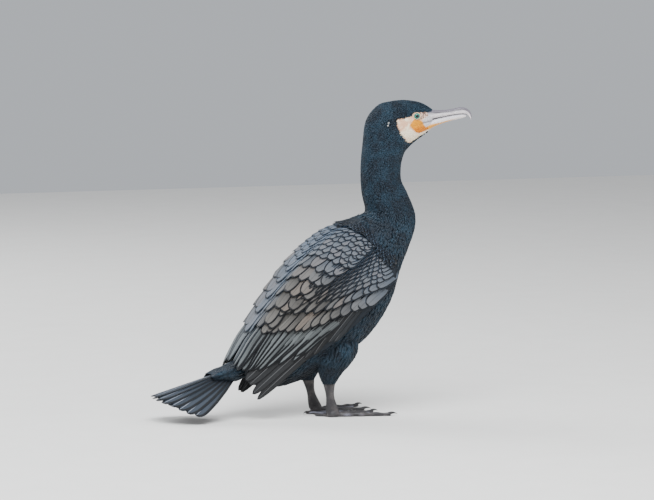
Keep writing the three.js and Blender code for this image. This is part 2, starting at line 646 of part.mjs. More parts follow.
// The web between two toes: a thin sheet with a hollow outer edge
function web(centre, one, other) {
  return plate(2, 4, (u, v, face) => {
    const w = (v + 1) / 2;
    const angle = lerp(one.angle, other.angle, w);
    const reach = lerp(one.length, other.length, w) * (0.95 - 0.2 * Math.sin(Math.PI * w));
    const point = centre.clone();
    const way = lerp(3, reach, u);
    point.x += way * Math.cos(angle);
    point.y += way * Math.sin(angle);
    point.z = 1.9 + 0.5 * WEB * face + lerp(1.2, 0, u) - 0.4 * Math.sin(Math.PI * w);
    return point;
  });
}

function foot(leg) {
  const centre = new THREE.Vector3(leg.foot[0], leg.side * STANCE, 0);
  const rays = TOES.map((t, i) => ({
    ...t, angle: -leg.side * THREE.MathUtils.degToRad(leg.toes[i]),
  }));
  let made = rays.reduce((sum, ray) => {
    const part = toe(ray, centre, ray.angle);
    return sum ? sum.add(part) : part;
  }, null);
  for (let i = 0; i < rays.length - 1; i++) made = made.add(web(centre, rays[i], rays[i + 1]));
  const instep = new THREE.SphereGeometry(1, 14, 8);
  instep.scale(SHANK.deep * 1.15, SHANK.wide * 1.9, 8.5);
  instep.translate(leg.foot[0] + 1, leg.side * STANCE, 3.4);
  return made.add(solid(instep)).subtract(box([-300, -200, -40], [300, 200, 0]));
}

headParts();
neckParts();
const torso = torsoSolid();
const torsoClear = torsoSolid(GAP);
add("torso", torso, "feathers");
const tail = tailSolid().subtract(torsoClear);
add("tail", tail, "tail");
const tailClear = tailSolid(GAP);
const rightWing = wing(torsoClear, tailClear);
add("wing_right", rightWing, "wing");
add("wing_left", mirrored(rightWing), "wing");
for (const leg of LEGS) {
  const footSolid = foot(leg);
  const shankSolid = shank(leg);
  const thighSolid = thigh(leg);
  const roof = box([-300, -200, leg.foot[1] + 2 - GAP], [300, 200, 300]);
  add("foot_" + leg.name, footSolid.subtract(roof), "leg");
  const collar = box([-300, -200, leg.ankle[1] + 2 - GAP], [300, 200, 300]);
  add("shank_" + leg.name, shankSolid.subtract(collar), "leg");
  add("thigh_" + leg.name, thighSolid.subtract(torsoClear), "feathers");
}

// The bird stands on z = 0, with the middle of its outline over the origin.
const outline = new THREE.Box3().setFromObject(bird);
bird.position.set(-(outline.min.x + outline.max.x) / 2, -(outline.min.y + outline.max.y) / 2, -outline.min.z);

export default bird;
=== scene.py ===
"""A great cormorant at rest, life size: one skin under a coat of single feathers, tiered wings, a fanned
tail, a horn bill with bare skin round it, green eyes and webbed feet."""

import math
from collections import namedtuple

import bpy
import numpy as np
from mathutils import Matrix, Vector
from mathutils.kdtree import KDTree


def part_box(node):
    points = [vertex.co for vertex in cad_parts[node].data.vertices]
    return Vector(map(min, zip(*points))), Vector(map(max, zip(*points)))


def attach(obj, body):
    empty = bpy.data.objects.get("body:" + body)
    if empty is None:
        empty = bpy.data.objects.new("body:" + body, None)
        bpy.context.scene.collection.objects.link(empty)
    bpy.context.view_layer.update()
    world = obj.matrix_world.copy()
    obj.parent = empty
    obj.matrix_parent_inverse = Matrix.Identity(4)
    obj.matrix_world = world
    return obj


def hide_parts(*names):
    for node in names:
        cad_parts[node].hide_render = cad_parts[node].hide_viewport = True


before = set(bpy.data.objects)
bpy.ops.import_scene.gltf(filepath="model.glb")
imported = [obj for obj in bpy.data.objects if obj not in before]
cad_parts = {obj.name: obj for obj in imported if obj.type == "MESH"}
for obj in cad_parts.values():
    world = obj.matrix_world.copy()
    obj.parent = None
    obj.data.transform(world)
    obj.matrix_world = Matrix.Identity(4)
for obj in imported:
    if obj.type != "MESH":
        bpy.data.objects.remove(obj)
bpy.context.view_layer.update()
bpy.ops.object.select_all(action="DESELECT")
rng = np.random.default_rng(11)

# Sizes are in mm. The drawing's tail root ends at x -156, and everything is moved from there to the solids.
TORSO_END = -156.0
torso_low, torso_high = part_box("torso")
SHIFT = np.array([torso_low.x * 1000 - TORSO_END, (torso_low.y + torso_high.y) * 500, 0.0])
SIDES = ((-1, "right"), (1, "left"))
MIRROR = [1, -1, 1]

# Sections of the body from the bill's root to the tail's root:
# point on the back (x, z), point on the front (x, z), half width, and how square the section is.
BODY = np.array([
    [183, 500, 180, 468, 9, 2.2], [170, 508.6, 169, 460, 13.5, 2.2], [155.5, 514, 157, 452, 17.5, 2.2],
    [134, 516.6, 147, 444, 21, 2.1], [112, 514.5, 140, 437, 23, 2.1], [91, 508, 135, 430.5, 23.5, 2.1],
    [72, 484, 130.5, 417, 23.5, 2.1], [66.5, 447, 128.5, 401, 24, 2.1], [63, 405, 130, 383, 25.5, 2.1],
    [64.5, 366, 140, 363, 28.5, 2.1], [71, 335, 153, 331, 34, 2.1], [60, 326, 152, 306, 42, 2.2],
    [38, 311, 141, 278, 51, 2.3], [2, 284, 124, 239, 58, 2.4], [-41, 243, 105, 182, 61, 2.4],
    [-85, 193, 64, 126, 58, 2.3], [-118, 152, -6, 80, 50, 2.3], [-141, 120, -76, 53, 38, 2.2],
    [-156, 100, -128, 56, 23, 2.2],
])
NAPE = 5  # station where the head ends
HEAD_TURN = math.radians(-12)
NECK_AXIS = 98
NECK_TWIST = (335, 440)
HEAD_FROM = 440  # height
STANCE = 33  # of each leg from the middle
COAT = 1.6  # depth of the feathers over the skin
SKIN_GRAIN, LEG_GRAIN = 0.0017, 0.0008  # of the closed skins, in metres

SLOPE = math.radians(49.4)
SHOULDER = np.array([42.0, 0, 317])
ALONG = np.array([-math.cos(SLOPE), 0, -math.sin(SLOPE)])
OUT = np.array([-math.sin(SLOPE), 0, math.cos(SLOPE)])
# Across the folded wing: place down the back, bow, valley, half width, depth, depth below, and the lower edge
WING = np.array([
    [-20, 2, 0, 44, 58, 70, 112], [0, 10, 3, 56, 60, 84, 135], [36, 25, 7, 66, 62, 92, 177],
    [100, 38, 10, 71, 58, 90, 189], [180, 37, 10, 65, 48, 74, 172], [247, 28, 8, 56, 38, 60, 134],
    [290, 20, 6, 50, 31, 48, 116], [335, 11, 4, 43, 26, 40, 98],
])
WING_SQUARE = 3.1  # how square the section is
RIDGE = (6, 42)  # from the midline, where the hollow between the wings fades out
CORE = {"below": 2.6, "shoulder": 15, "rear": 3.6, "inset": 5}
WING_OUTWARD = OUT - np.array([0, 1, 0])

# Each tier of the folded wing has its line of roots and its line of tips, from the inner to the outer
# feather, as places down the back and round the body. rise is how far the tips stand off the core, lap how
# wide a vane is in its row, taper where its tip begins, tilt how steeply its outer edge lifts, rim the width
# of its dark border, and uneven how far every other feather is set back in its row.
Tier = namedtuple("Tier", "kind count roots tips rise lap taper tilt rim uneven")
TIERS = [
    Tier("primary", 4, [[204, 100], [104, 176]], [[318, 60], [331, 91]], 0.9, 1.5, 0.8, 0.09, 1.2, 3),
    Tier("primary", 5, [[104, 152], [30, 168]], [[230, 136], [176, 163]], 1.8, 2.6, 0.8, 0.1, 1.2, 4),
    Tier("flight", 14, [[216, 50], [168, 116], [96, 168]], [[308, 44], [284, 76], [232, 125]],
         2.8, 2.3, 0.84, 0.15, 2.3, 1),
    Tier("covert", 14, [[188, 55], [138, 125], [50, 172]], [[242, 46], [192, 108], [100, 171]],
         3.9, 2.3, 0.7, 0.13, 2.6, 2),
    Tier("covert", 12, [[144, 70], [84, 142], [18, 162]], [[202, 58], [146, 124], [68, 160]],
         4.1, 2.3, 0.6, 0.1, 2.8, 3),
    Tier("flight", 5, [[212, 10], [206, 52]], [[304, 10], [314, 40]], 4.4, 1.9, 0.7, 0.12, 2.8, 2),
    Tier("scapular", 5, [[180, 12], [170, 58]], [[250, 12], [226, 56]], 5.8, 2, 0.62, 0.08, 3, 6),
    Tier("scapular", 6, [[152, 12], [138, 72]], [[216, 12], [190, 70]], 5.6, 2, 0.58, 0.08, 3, 6),
    Tier("scapular", 7, [[124, 12], [108, 84]], [[186, 12], [156, 80]], 5.4, 2, 0.54, 0.08, 3, 6),
    Tier("scapular", 8, [[100, 12], [80, 92]], [[156, 12], [126, 88]], 5.2, 2, 0.52, 0.07, 2.8, 6),
    Tier("scapular", 10, [[80, 10], [58, 98]], [[130, 10], [100, 94]], 5, 2, 0.5, 0.06, 2.4, 5),
]
# Small feathers in close rows: the lesser coverts from their lowest row to the bend, then the upper
# scapulars. count and rim are those of the first row and of the last.
SMALL = [
    {"kind": "covert", "rows": 10, "count": (14, 17), "rise": 4.2, "rim": (2.2, 1.8),
     "first": [[140, 78], [84, 132], [14, 150]], "first_tips": [[178, 68], [126, 120], [50, 155]],
     "last": [[56, 84], [20, 98], [-12, 92]], "last_tips": [[82, 82], [44, 98], [4, 100]]},
    {"kind": "scapular", "rows": 7, "count": (12, 17), "rise": 4.6, "rim": (2.2, 2.3),
     "first": [[62, 9], [40, 100]], "first_tips": [[104, 10], [74, 99]],
     "last": [[-12, 7], [-14, 88]], "last_tips": [[18, 8], [10, 94]]},
]


def small_tiers():
    """The close rows of small feathers, each between a first and a last row."""
    for group in SMALL:
        first, last = (np.array([group[key], group[key + "_tips"]], float) for key in ("first", "last"))
        for row in range(group["rows"]):
            way = row / (group["rows"] - 1)
            roots, tips = first + (last - first) * way
            count, rim = (start + (end - start) * way for start, end in (group["count"], group["rim"]))
            yield Tier(group["kind"], round(count), roots, tips, rise=group["rise"] - 0.5 * way, lap=2.2,
                       taper=0.46, tilt=0.05, rim=rim, uneven=3)


TIERS += small_tiers()
SINK = -1.5  # of a vane's root into the wing
VANE = 0.45  # thickness

TAIL = {"root": [-148, 89], "dip": math.radians(16.5), "droop": math.radians(33), "pairs": 7,
        "spread": math.radians(30), "start": 22, "long": 160, "short": 128, "half": 10.5}
# The tail's fleshy root: place along the tail, half width, height above the fan, depth below it
TAIL_ROOT = np.array([
    [-2, 20, 9.5, 22], [14, 22, 8, 22], [32, 22, 5.5, 18], [52, 19, 3, 10], [70, 15, 1.6, 5],
    [92, 10, 0.8, 1.5],
])
TAIL_SKIN_END = 46

# The eye's place on the head's side view, its ball, the lids' opening and thickness, and its centre's depth
EYE = {"at": (153.5, 491.2), "radius": 6.0, "open": 5.0, "lid": 0.8, "sunk": 3.1}
# Sections of the bill's two halves, in the same terms as the body's
BILL_UPPER = np.array([
    [172, 503, 172, 481.8, 10, 2.3], [183, 500.4, 184, 485.4, 8.6, 2.2], [198, 499.9, 200, 488.7, 7, 2.2],
    [214, 501.4, 215, 491.3, 5.8, 2.2], [228, 504.2, 228, 492.9, 5.2, 2.2],
    [238, 502.8, 235.8, 492.9, 4.6, 2.2], [244.6, 497.8, 239.9, 491.4, 3.6, 2.1],
    [247.6, 490.6, 243.4, 488, 2.3, 2], [247.6, 484.4, 246.4, 483.8, 0.9, 2],
])
BILL_LOWER = np.array([
    [172, 481, 174, 466.5, 9, 2.3], [186, 485.6, 187, 473.6, 7.6, 2.2], [200, 488.3, 202, 479, 6.2, 2.2],
    [215, 490.9, 216, 482.8, 5, 2.2], [228, 492.5, 228, 485.6, 4.1, 2.2], [235, 492.3, 235.6, 487.4, 3, 2.1],
    [238.4, 490.8, 238.8, 489.2, 1.3, 2],
])

# The legs' places on their own side views, x and z, and the directions of the toes in degrees
LEGS = [
    {"name": "right", "side": -1, "foot": (0, 8), "ankle": (-6, 56), "hip": (14, 128),
     "toes": (-12, 18, 34, 145)},
    {"name": "left", "side": 1, "foot": (-6, 8), "ankle": (-22, 56), "hip": (8, 128),
     "toes": (-24, 6, 22, 140)},
]
SHANK = {"deep": 9.4, "wide": 4.4, "inset": 3}
Toe = namedtuple("Toe", "length radius joints")
TOES = [Toe(96, 5.2, 4), Toe(83, 4.8, 3), Toe(50, 4.4, 2), Toe(30, 4, 1)]
CLAW = 11  # length past the toe
WEB = 1.8  # thickness
FLOOR_GAP = 0.3

# Camera: from the bird's right and a little behind its side, far off, as in the photograph
RIGHTWARDS = Vector((0.9397, -0.3420, 0.0))
UPWARDS = Vector((0.0328, 0.0900, 0.9954))
TO_CAMERA = Vector((-0.3404, -0.9354, 0.0958))
DISTANCE = 6.5
SENSOR = 36
PICTURE_WIDTH = 654
PIXEL = 0.00165  # metres at the bird


def linked(name, data):
    """A new object of the scene."""
    thing = bpy.data.objects.new(name, data)
    bpy.context.scene.collection.objects.link(thing)
    return thing


centre = RIGHTWARDS * 0.0013 + UPWARDS * 0.271 + Vector(SHIFT * 0.001)
camera_data = bpy.data.cameras.new("camera")
camera_data.sensor_width = SENSOR
camera_data.lens = SENSOR * DISTANCE / (PICTURE_WIDTH * PIXEL)
camera = linked("camera", camera_data)
turn = Matrix((RIGHTWARDS, UPWARDS, TO_CAMERA)).transposed().to_4x4()
camera.matrix_world = Matrix.Translation(centre + TO_CAMERA * DISTANCE) @ turn
bpy.context.scene.camera = camera


def smoothstep(x, low, high):
    share = np.clip((np.asarray(x, float) - low) / (high - low), 0, 1)
    return share * share * (3 - 2 * share)


def between(places, values, at):
    """A smooth value between the stations of a table."""
    x = np.asarray(places, float)
    y = np.asarray(values, float)
    before = np.maximum(np.arange(len(x)) - 1, 0)
    after = np.minimum(np.arange(len(x)) + 1, len(x) - 1)
    slope = (y[after] - y[before]) / (x[after] - x[before])
    at = np.asarray(at, float)
    i = np.clip(np.searchsorted(x, at, side="right") - 1, 0, len(x) - 2)
    h = x[i + 1] - x[i]
    s = np.clip((at - x[i]) / h, 0, 1)
    s2, s3 = s ** 2, s ** 3
    return ((2 * s3 - 3 * s2 + 1) * y[i] + (s3 - 2 * s2 + s) * h * slope[i]
            + (3 * s2 - 2 * s3) * y[i + 1] + (s3 - s2) * h * slope[i + 1])


def columns(places, table, at):
    """Every column of a table at a place between its rows."""
    return [between(places, column, at) for column in table.T]


def wing_edge(a):
    """The folded wing's lower edge at a place down the back."""
    return between(WING[:, 0], WING[:, 6], a)


def bend_drop(a):
    """How far the wing's surface sinks towards its bend."""
    return 5 * (1 - smoothstep(a, -16, 24))


def signed_power(value, power):
    return np.sign(value) * np.abs(value) ** power


def stacked(x, y, z):
    return np.stack(np.broadcast_arrays(x, y, z), -1)


def once_round(count, start=-math.pi):
    """Angles once round a section, without the closing one."""
    return np.linspace(start, start + 2 * math.pi, count, endpoint=False)


def lapped_round(count):
    """Angles once round and a little past the join."""
    return np.linspace(-math.pi - 0.1, math.pi + 0.1, count)


def lattice(rows, columns, low=-1):
    """Shares 0 to 1 along the rows and low to 1 across the columns."""
    return np.meshgrid(np.linspace(0, 1, rows), np.linspace(low, 1, columns), indexing="ij")


def on_loft(table, t, angle, grow=0.0):
    """A point on a loft: t counts the stations, angle runs from the back over the left side."""
    t, angle = np.broadcast_arrays(np.asarray(t, float), np.asarray(angle, float))
    back_x, back_z, front_x, front_z, half, square = columns(np.arange(len(table)), table, t)
    arm_x, arm_z = (back_x - front_x) / 2, (back_z - front_z) / 2
    length = np.hypot(arm_x, arm_z)
    longer = (length + grow) / length
    c = signed_power(np.cos(angle), 2 / square)
    s = signed_power(np.sin(angle), 2 / square)
    return stacked((back_x + front_x) / 2 + arm_x * longer * c, (half + grow) * s,
                   (back_z + front_z) / 2 + arm_z * longer * c)


def turned(points, back=False):
    """The head and neck twist about the neck's upright axis. back takes the twist away."""
    angle = HEAD_TURN * smoothstep(points[..., 2], *NECK_TWIST) * (-1 if back else 1)
    x, y = points[..., 0] - NECK_AXIS, points[..., 1]
    return stacked(NECK_AXIS + x * np.cos(angle) - y * np.sin(angle), x * np.sin(angle) + y * np.cos(angle),
                   points[..., 2])


def unit(vectors):
    return vectors / np.maximum(np.linalg.norm(vectors, axis=-1, keepdims=True), 1e-9)


class Surface:
    """A smooth surface sampled on an even grid of two measures, with its outward side."""

    def __init__(self, u, v, points, outward):
        self.u, self.v = u, v
        along = np.gradient(points, u, axis=0)
        across = np.gradient(points, v, axis=1)
        normal = unit(np.cross(along, across))
        if np.mean(np.sum(normal * outward, -1)) < 0:
            normal = -normal
        self.grids = {"point": points, "normal": normal, "along": along, "across": across}

    def read(self, what, u, v):
        grid = self.grids[what]
        u, v = np.broadcast_arrays(np.asarray(u, float), np.asarray(v, float))
        fu = np.clip((u - self.u[0]) / (self.u[1] - self.u[0]), 0, len(self.u) - 1.001)
        fv = np.clip((v - self.v[0]) / (self.v[1] - self.v[0]), 0, len(self.v) - 1.001)
        iu, iv = fu.astype(int), fv.astype(int)
        wu, wv = (fu - iu)[..., None], (fv - iv)[..., None]
        low = grid[iu, iv] * (1 - wv) + grid[iu, iv + 1] * wv
        high = grid[iu + 1, iv] * (1 - wv) + grid[iu + 1, iv + 1] * wv
        return low * (1 - wu) + high * wu

    def at(self, u, v, lift=0.0):
        lift = np.asarray(lift, float)[..., None]
        return self.read("point", u, v) + self.read("normal", u, v) * lift


    def pace(self, what, u, v, least=0.0):
        """How many mm the surface runs for each step of one measure, what being along or across."""
        return np.maximum(np.linalg.norm(self.read(what, u, v), axis=-1), least)


def ring_surface(u, v, points):
    return Surface(u, v, points, points - points.mean(1, keepdims=True))


def body_surface():
    t = np.linspace(0, len(BODY) - 1, 901)
    angle = lapped_round(241)
    return ring_surface(t, angle, turned(on_loft(BODY, t[:, None], angle[None, :])))


def wing_surface():
    """The right wing's chart: a down the back from the shoulder, g round the body from the midline."""
    a = np.linspace(-30, 348, 190)
    g = np.linspace(0, 200, 161)
    turns = np.pi / 2 - np.pi * np.arange(41) / 40
    s = np.sin(turns)
    rows = []
    for place in a:
        bow, valley, half, deep, below, _ = columns(WING[:, 0], WING[:, 1:], place)
        rise = np.where(s > 0, deep + bow, below) * signed_power(s, 2 / WING_SQUARE)
        across = half * np.maximum(np.cos(turns), 0) ** (2 / WING_SQUARE)
        sag = np.where(s > 0, valley * (1 - smoothstep(across, *RIDGE)), 0)
        points = SHOULDER + ALONG * place + OUT * (rise - deep - sag)[:, None]
        points[:, 1] = -across
        way = np.concatenate([[0], np.cumsum(np.linalg.norm(np.diff(points, axis=0), axis=1))])
        rows.append(np.stack([np.interp(g, way, points[:, k]) for k in range(3)], -1))
    return Surface(a, g, np.array(rows), WING_OUTWARD)


def on_tail(angle, way, lift):
    """A place on the drooping fan: angle from its middle, way from its pivot, lift off it."""
    back = np.array([-math.cos(TAIL["dip"]), 0, -math.sin(TAIL["dip"])])
    up = np.array([-math.sin(TAIL["dip"]), 0, math.cos(TAIL["dip"])])
    angle, way, lift = np.broadcast_arrays(angle, way, lift)
    droop = TAIL["droop"] * np.minimum(np.abs(angle) / TAIL["spread"], 1.3) ** 0.8
    side = stacked(0, np.sign(angle) * np.cos(droop), 0) - up * np.sin(droop)[..., None]
    root = np.array([TAIL["root"][0], 0, TAIL["root"][1]])
    return (root + back * (way * np.cos(angle))[..., None]
            + side * (way * np.abs(np.sin(angle)))[..., None] + up * lift[..., None])


def tail_root_surface():
    way = np.linspace(TAIL_ROOT[0, 0], TAIL_ROOT[-1, 0], 95)
    turns = lapped_round(97)
    half, up, down = columns(TAIL_ROOT[:, 0], TAIL_ROOT[:, 1:], way[:, None])
    c = np.cos(turns)[None, :]
    rise = np.where(c > 0, up, down) * signed_power(c, 0.9)
    points = on_tail(0.0, way[:, None], rise)
    points[..., 1] = half * np.sin(turns)[None, :]
    return ring_surface(way, turns, points)


def thigh_surface(leg, grow=0.0):
    hip, ankle, side = leg["hip"], leg["ankle"], leg["side"]
    x_at = [hip[0] + (ankle[0] - hip[0]) * share for share in (0.1, 0.4, 0.65, 0.9)]
    # height, place forwards, half depth, half width, distance from the middle
    rows = np.array([
        [hip[1] + 14, hip[0] + 4, 20, 12, STANCE - 3], [116, x_at[0], 31, 21, STANCE - 1],
        [100, x_at[1], 32, 23, STANCE], [86, x_at[2], 27, 19, STANCE - 1],
        [71, x_at[3], 18.5, 13, STANCE - 2], [ankle[1] - 1, ankle[0], 10, 6.4, STANCE - SHANK["inset"]],
    ])
    u = np.linspace(0, len(rows) - 1, 101)
    turns = lapped_round(97)
    z, x, deep, wide, out = columns(np.arange(len(rows)), rows, u[:, None])
    points = stacked(x + (deep + grow) * np.cos(turns), side * out + (wide + grow) * np.sin(turns), z)
    return ring_surface(u, turns, points)


class Gathered:
    """Many small closed forms that become one piece. cells are their places on the colour map; tufts have
    roots and local instead, their roots' places in space and their own small shapes on the map."""

    def __init__(self):
        self.points, self.faces, self.marks, self.count = [], [], {}, 0
        self.cells, self.roots, self.local = [], [], []

    def add(self, points, faces, **marks):
        points = points.reshape(-1, 3)
        self.points.append(points)
        self.faces.append(faces + self.count)
        for name, values in marks.items():
            self.marks.setdefault(name, []).append(np.broadcast_to(values, len(points)).astype(np.float32))
        self.count += len(points)

    def mirror(self):
        """The forms brought to the other side."""
        self.points = [points * MIRROR for points in self.points]
        self.roots = [roots * MIRROR for roots in self.roots]
        self.faces = [faces[:, ::-1] for faces in self.faces]


def outward(points, faces):
    """The faces turned round where a closed form's volume comes out negative."""
    a, b, c = (points[faces[:, k]] for k in range(3))
    return faces[:, ::-1] if np.sum(np.cross(a, b) * c) < 0 else faces


def set_points(mesh, points):
    mesh.vertices.foreach_set("co", ((points + SHIFT) * 0.001).astype(np.float32).ravel())


def set_marks(mesh, marks):
    for key, values in marks.items():
        mesh.attributes.new(key, "FLOAT", "POINT").data.foreach_set("value", values.astype(np.float32))


def values_of(data, key, width, kind=np.float32):
    """One value of each of a mesh's elements, as rows."""
    values = np.zeros(len(data) * width, kind)
    data.foreach_get(key, values)
    return values.reshape(-1, width)


def make_object(name, gathered):
    """An object made of the gathered forms, with its marks."""
    points, faces = np.concatenate(gathered.points), np.concatenate(gathered.faces)
    mesh = bpy.data.meshes.new(name)
    mesh.vertices.add(len(points))
    set_points(mesh, points)
    size = faces.shape[1]
    mesh.loops.add(faces.size)
    mesh.loops.foreach_set("vertex_index", faces.astype(np.int32).ravel())
    mesh.polygons.add(len(faces))
    mesh.polygons.foreach_set("loop_start", np.arange(0, faces.size, size, dtype=np.int32))
    mesh.polygons.foreach_set("use_smooth", np.ones(len(faces), bool))
    mesh.update(calc_edges=True)
    set_marks(mesh, {key: np.concatenate(values) for key, values in gathered.marks.items()})
    if gathered.cells or gathered.roots:
        spots = np.concatenate(gathered.cells) if gathered.cells else root_patches(gathered)
        layer = mesh.uv_layers.new(name="OFBake")
        layer.data.foreach_set("uv", spots[faces.ravel()].astype(np.float32).ravel())
    return linked(name, mesh)


def make_piece(name, gathered, finish, nodes=()):
    return dress(make_object(name, gathered), finish, nodes)


def whole_skin(name, parts, grain, rounds):
    """Closed forms that overlap, made one skin of an even grain (in metres) and smoothed. The object is left
    selected, and comes with its points."""
    gathered = Gathered()
    for points, faces in parts:
        gathered.add(points, faces)
    piece = make_object(name, gathered)
    bpy.context.view_layer.objects.active = piece
    piece.select_set(True)
    whole = piece.modifiers.new("whole", "REMESH")
    whole.mode = "VOXEL"
    whole.voxel_size = grain
    whole.use_smooth_shade = True
    smooth = piece.modifiers.new("smooth", "SMOOTH")
    smooth.iterations = rounds
    for modifier in ("whole", "smooth"):
        bpy.ops.object.modifier_apply(modifier=modifier)
    return piece, values_of(piece.data.vertices, "co", 3) * 1000 - SHIFT


def dress(piece, finish, nodes=()):
    piece.data.materials.clear()
    piece.data.materials.append(finish)
    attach(piece, "root")
    if nodes:
        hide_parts(*nodes)
    return piece


def grid_faces(rows, columns, closed=False):
    """Triangles over a grid of points, rows by columns. closed joins the last column to the first."""
    i, j = np.meshgrid(np.arange(rows - 1), np.arange(columns if closed else columns - 1), indexing="ij")
    k = (j + 1) % columns
    a, b, c, d = (i * columns + j), (i * columns + k), ((i + 1) * columns + k), ((i + 1) * columns + j)
    return np.concatenate([np.stack([a, b, c], -1).reshape(-1, 3), np.stack([a, c, d], -1).reshape(-1, 3)])


def capped_rings(points):
    """A closed form from rings of points, with a point at the middle of each end."""
    rows, sides = points.shape[:2]
    faces = grid_faces(rows, sides, closed=True)
    first, last = rows * sides, rows * sides + 1
    j = np.arange(sides)
    k = (j + 1) % sides
    end = (rows - 1) * sides
    caps = np.concatenate([np.stack([np.full(sides, first), k, j], -1),
                           np.stack([np.full(sides, last), end + j, end + k], -1)])
    everything = np.concatenate([points.reshape(-1, 3), points[0].mean(0)[None], points[-1].mean(0)[None]])
    faces = np.concatenate([faces, caps])
    return everything, outward(everything, faces)


def plate_faces(rows, columns):
    """Triangles of a thin closed plate: an upper grid, then a lower one."""
    upper = grid_faces(rows, columns)
    under = rows * columns
    rim = np.concatenate([np.arange(columns), np.arange(1, rows) * columns + columns - 1,
                          (rows - 1) * columns + np.arange(columns - 2, -1, -1),
                          np.arange(rows - 2, 0, -1) * columns])
    after = np.roll(rim, -1)
    side = [np.stack([after, rim, rim + under], -1), np.stack([after, rim + under, after + under], -1)]
    return np.concatenate([upper, upper[:, ::-1] + under, *side])


# The places of a tuft's rings from root to tip; each ring is a low three-cornered section, the tip a point
RINGS = np.array([0, 0.3, 0.58, 0.8, 0.94])


def tuft_faces():
    faces = grid_faces(len(RINGS), 3, closed=True)
    end, tip = (len(RINGS) - 1) * 3, len(RINGS) * 3
    ends = [[0, 2, 1], [end, end + 1, tip], [end + 1, end + 2, tip], [end + 2, end, tip]]
    return np.concatenate([faces, ends])


TUFT_FACES = tuft_faces()
TUFT_POINTS = len(RINGS) * 3 + 1


def tufts(gathered, surface, u, v, length, width, lift, blunt, ridge, sway, sink=COAT + 0.3,
          mantle=0.0, pale=0.0, shade=0.0):
    """Small body feathers rooted at u, v of a surface, each lying along u. lift is how far its tip stands
    off, blunt where its tip begins to narrow, ridge how high its middle is, and sway how far it leans."""
    count = len(u)
    at_u, at_v = u.copy(), v.copy()
    lean = rng.normal(0, sway, count)
    raised = rng.uniform(0.75, 1.3, count) * lift
    height = lambda share: -sink + (raised + sink) * smoothstep(share, -0.15, 0.85)
    points = np.zeros((count, TUFT_POINTS, 3))
    before = 0.0
    for i, share in enumerate(RINGS):
        step = length * (share - before)
        before = share
        at_u = at_u + step / surface.pace("along", at_u, at_v, 0.2)
        at_v = at_v + lean * step / surface.pace("across", at_u, at_v, 0.2)
        normal = surface.read("normal", at_u, at_v)
        side = unit(np.cross(normal, unit(surface.read("along", at_u, at_v))))
        end = math.sqrt(max(1 - (max(share - blunt, 0) / (1 - blunt)) ** 2, 0))
        half = (width / 2 * (0.6 + 0.4 * smoothstep(share, 0, 0.35)) * end)[:, None]
        base = surface.at(at_u, at_v, height(share))
        points[:, i * 3] = base - side * half - normal * (half * 0.16)
        points[:, i * 3 + 1] = base + side * half - normal * (half * 0.16)
        points[:, i * 3 + 2] = base + normal * (0.12 + ridge * half)
    tip_u = at_u + length * 0.06 / surface.pace("along", at_u, at_v, 0.2)
    points[:, -1] = surface.at(tip_u, at_v, height(1.0))
    starts = np.arange(count) * TUFT_POINTS
    faces = (outward(points[0], TUFT_FACES)[None] + starts[:, None, None]).reshape(-1, 3)
    across = np.tile(np.append(np.tile([-1.0, 1.0, 0.0], len(RINGS)), 0.0), count)
    along = np.tile(np.append(np.repeat(RINGS, 3), 1.0), count)
    # shade marks painted shade on feathers under the belly, down the thighs and under the tail's root
    marks = {"tone": rng.uniform(0, 1, count), "mantle": mantle, "pale": pale, "shade": shade}
    marks = {name: np.repeat(np.broadcast_to(value, count), TUFT_POINTS) for name, value in marks.items()}
    gathered.add(points, faces, across=across, along=along, **marks)
    gathered.roots.append(points[:, 0])
    gathered.local.append(np.stack([across, along * 2 - 1], -1))


def staggered(surface, columns, span, spacing, loose=0.2):
    """Roots in staggered rows: one for each spacing along every column."""
    u = np.linspace(*span, 500)
    all_u, all_v = [], []
    for i, v in enumerate(columns):
        rate = surface.pace("along", u, v) / spacing(u)
        measure = np.concatenate([[0], np.cumsum((rate[1:] + rate[:-1]) / 2 * np.diff(u))])
        at = np.arange(int(measure[-1]) + 1) + 0.5 * (i % 2)
        at = at + rng.uniform(-loose, loose, len(at))
        at = at[(at > 0) & (at < measure[-1])]
        all_u.append(np.interp(at, measure, u))
        all_v.append(v + rng.uniform(-loose, loose, len(at)) * (columns[1] - columns[0]))
    return np.concatenate(all_u), np.concatenate(all_v)


def depth_inside(outline, x, z):
    """How far each point of the side view is inside an outline; negative outside."""
    best = np.full(np.shape(x), 1e9)
    odd = np.zeros(np.shape(x), bool)
    for (x0, z0), (x1, z1) in zip(outline, outline[1:] + outline[:1]):
        dx, dz = x1 - x0, z1 - z0
        s = np.clip(((x - x0) * dx + (z - z0) * dz) / (dx * dx + dz * dz), 0, 1)
        best = np.minimum(best, np.hypot(x - x0 - s * dx, z - z0 - s * dz))
        odd ^= ((z0 > z) != (z1 > z)) & (x < dx * (z - z0) / (dz + 1e-12) + x0)
    return np.where(odd, best, -best)


class Signal:
    """A number that varies over a surface."""

    def __init__(self, finish, socket):
        self.finish = finish
        self.socket = socket

    def __add__(self, other):
        return self.finish.maths("ADD", self, other)

    def __radd__(self, other):
        return self.finish.maths("ADD", other, self)

    def __sub__(self, other):
        return self.finish.maths("SUBTRACT", self, other)

    def __rsub__(self, other):
        return self.finish.maths("SUBTRACT", other, self)

    def __mul__(self, other):
        return self.finish.maths("MULTIPLY", self, other)

    def __rmul__(self, other):
        return self.finish.maths("MULTIPLY", other, self)


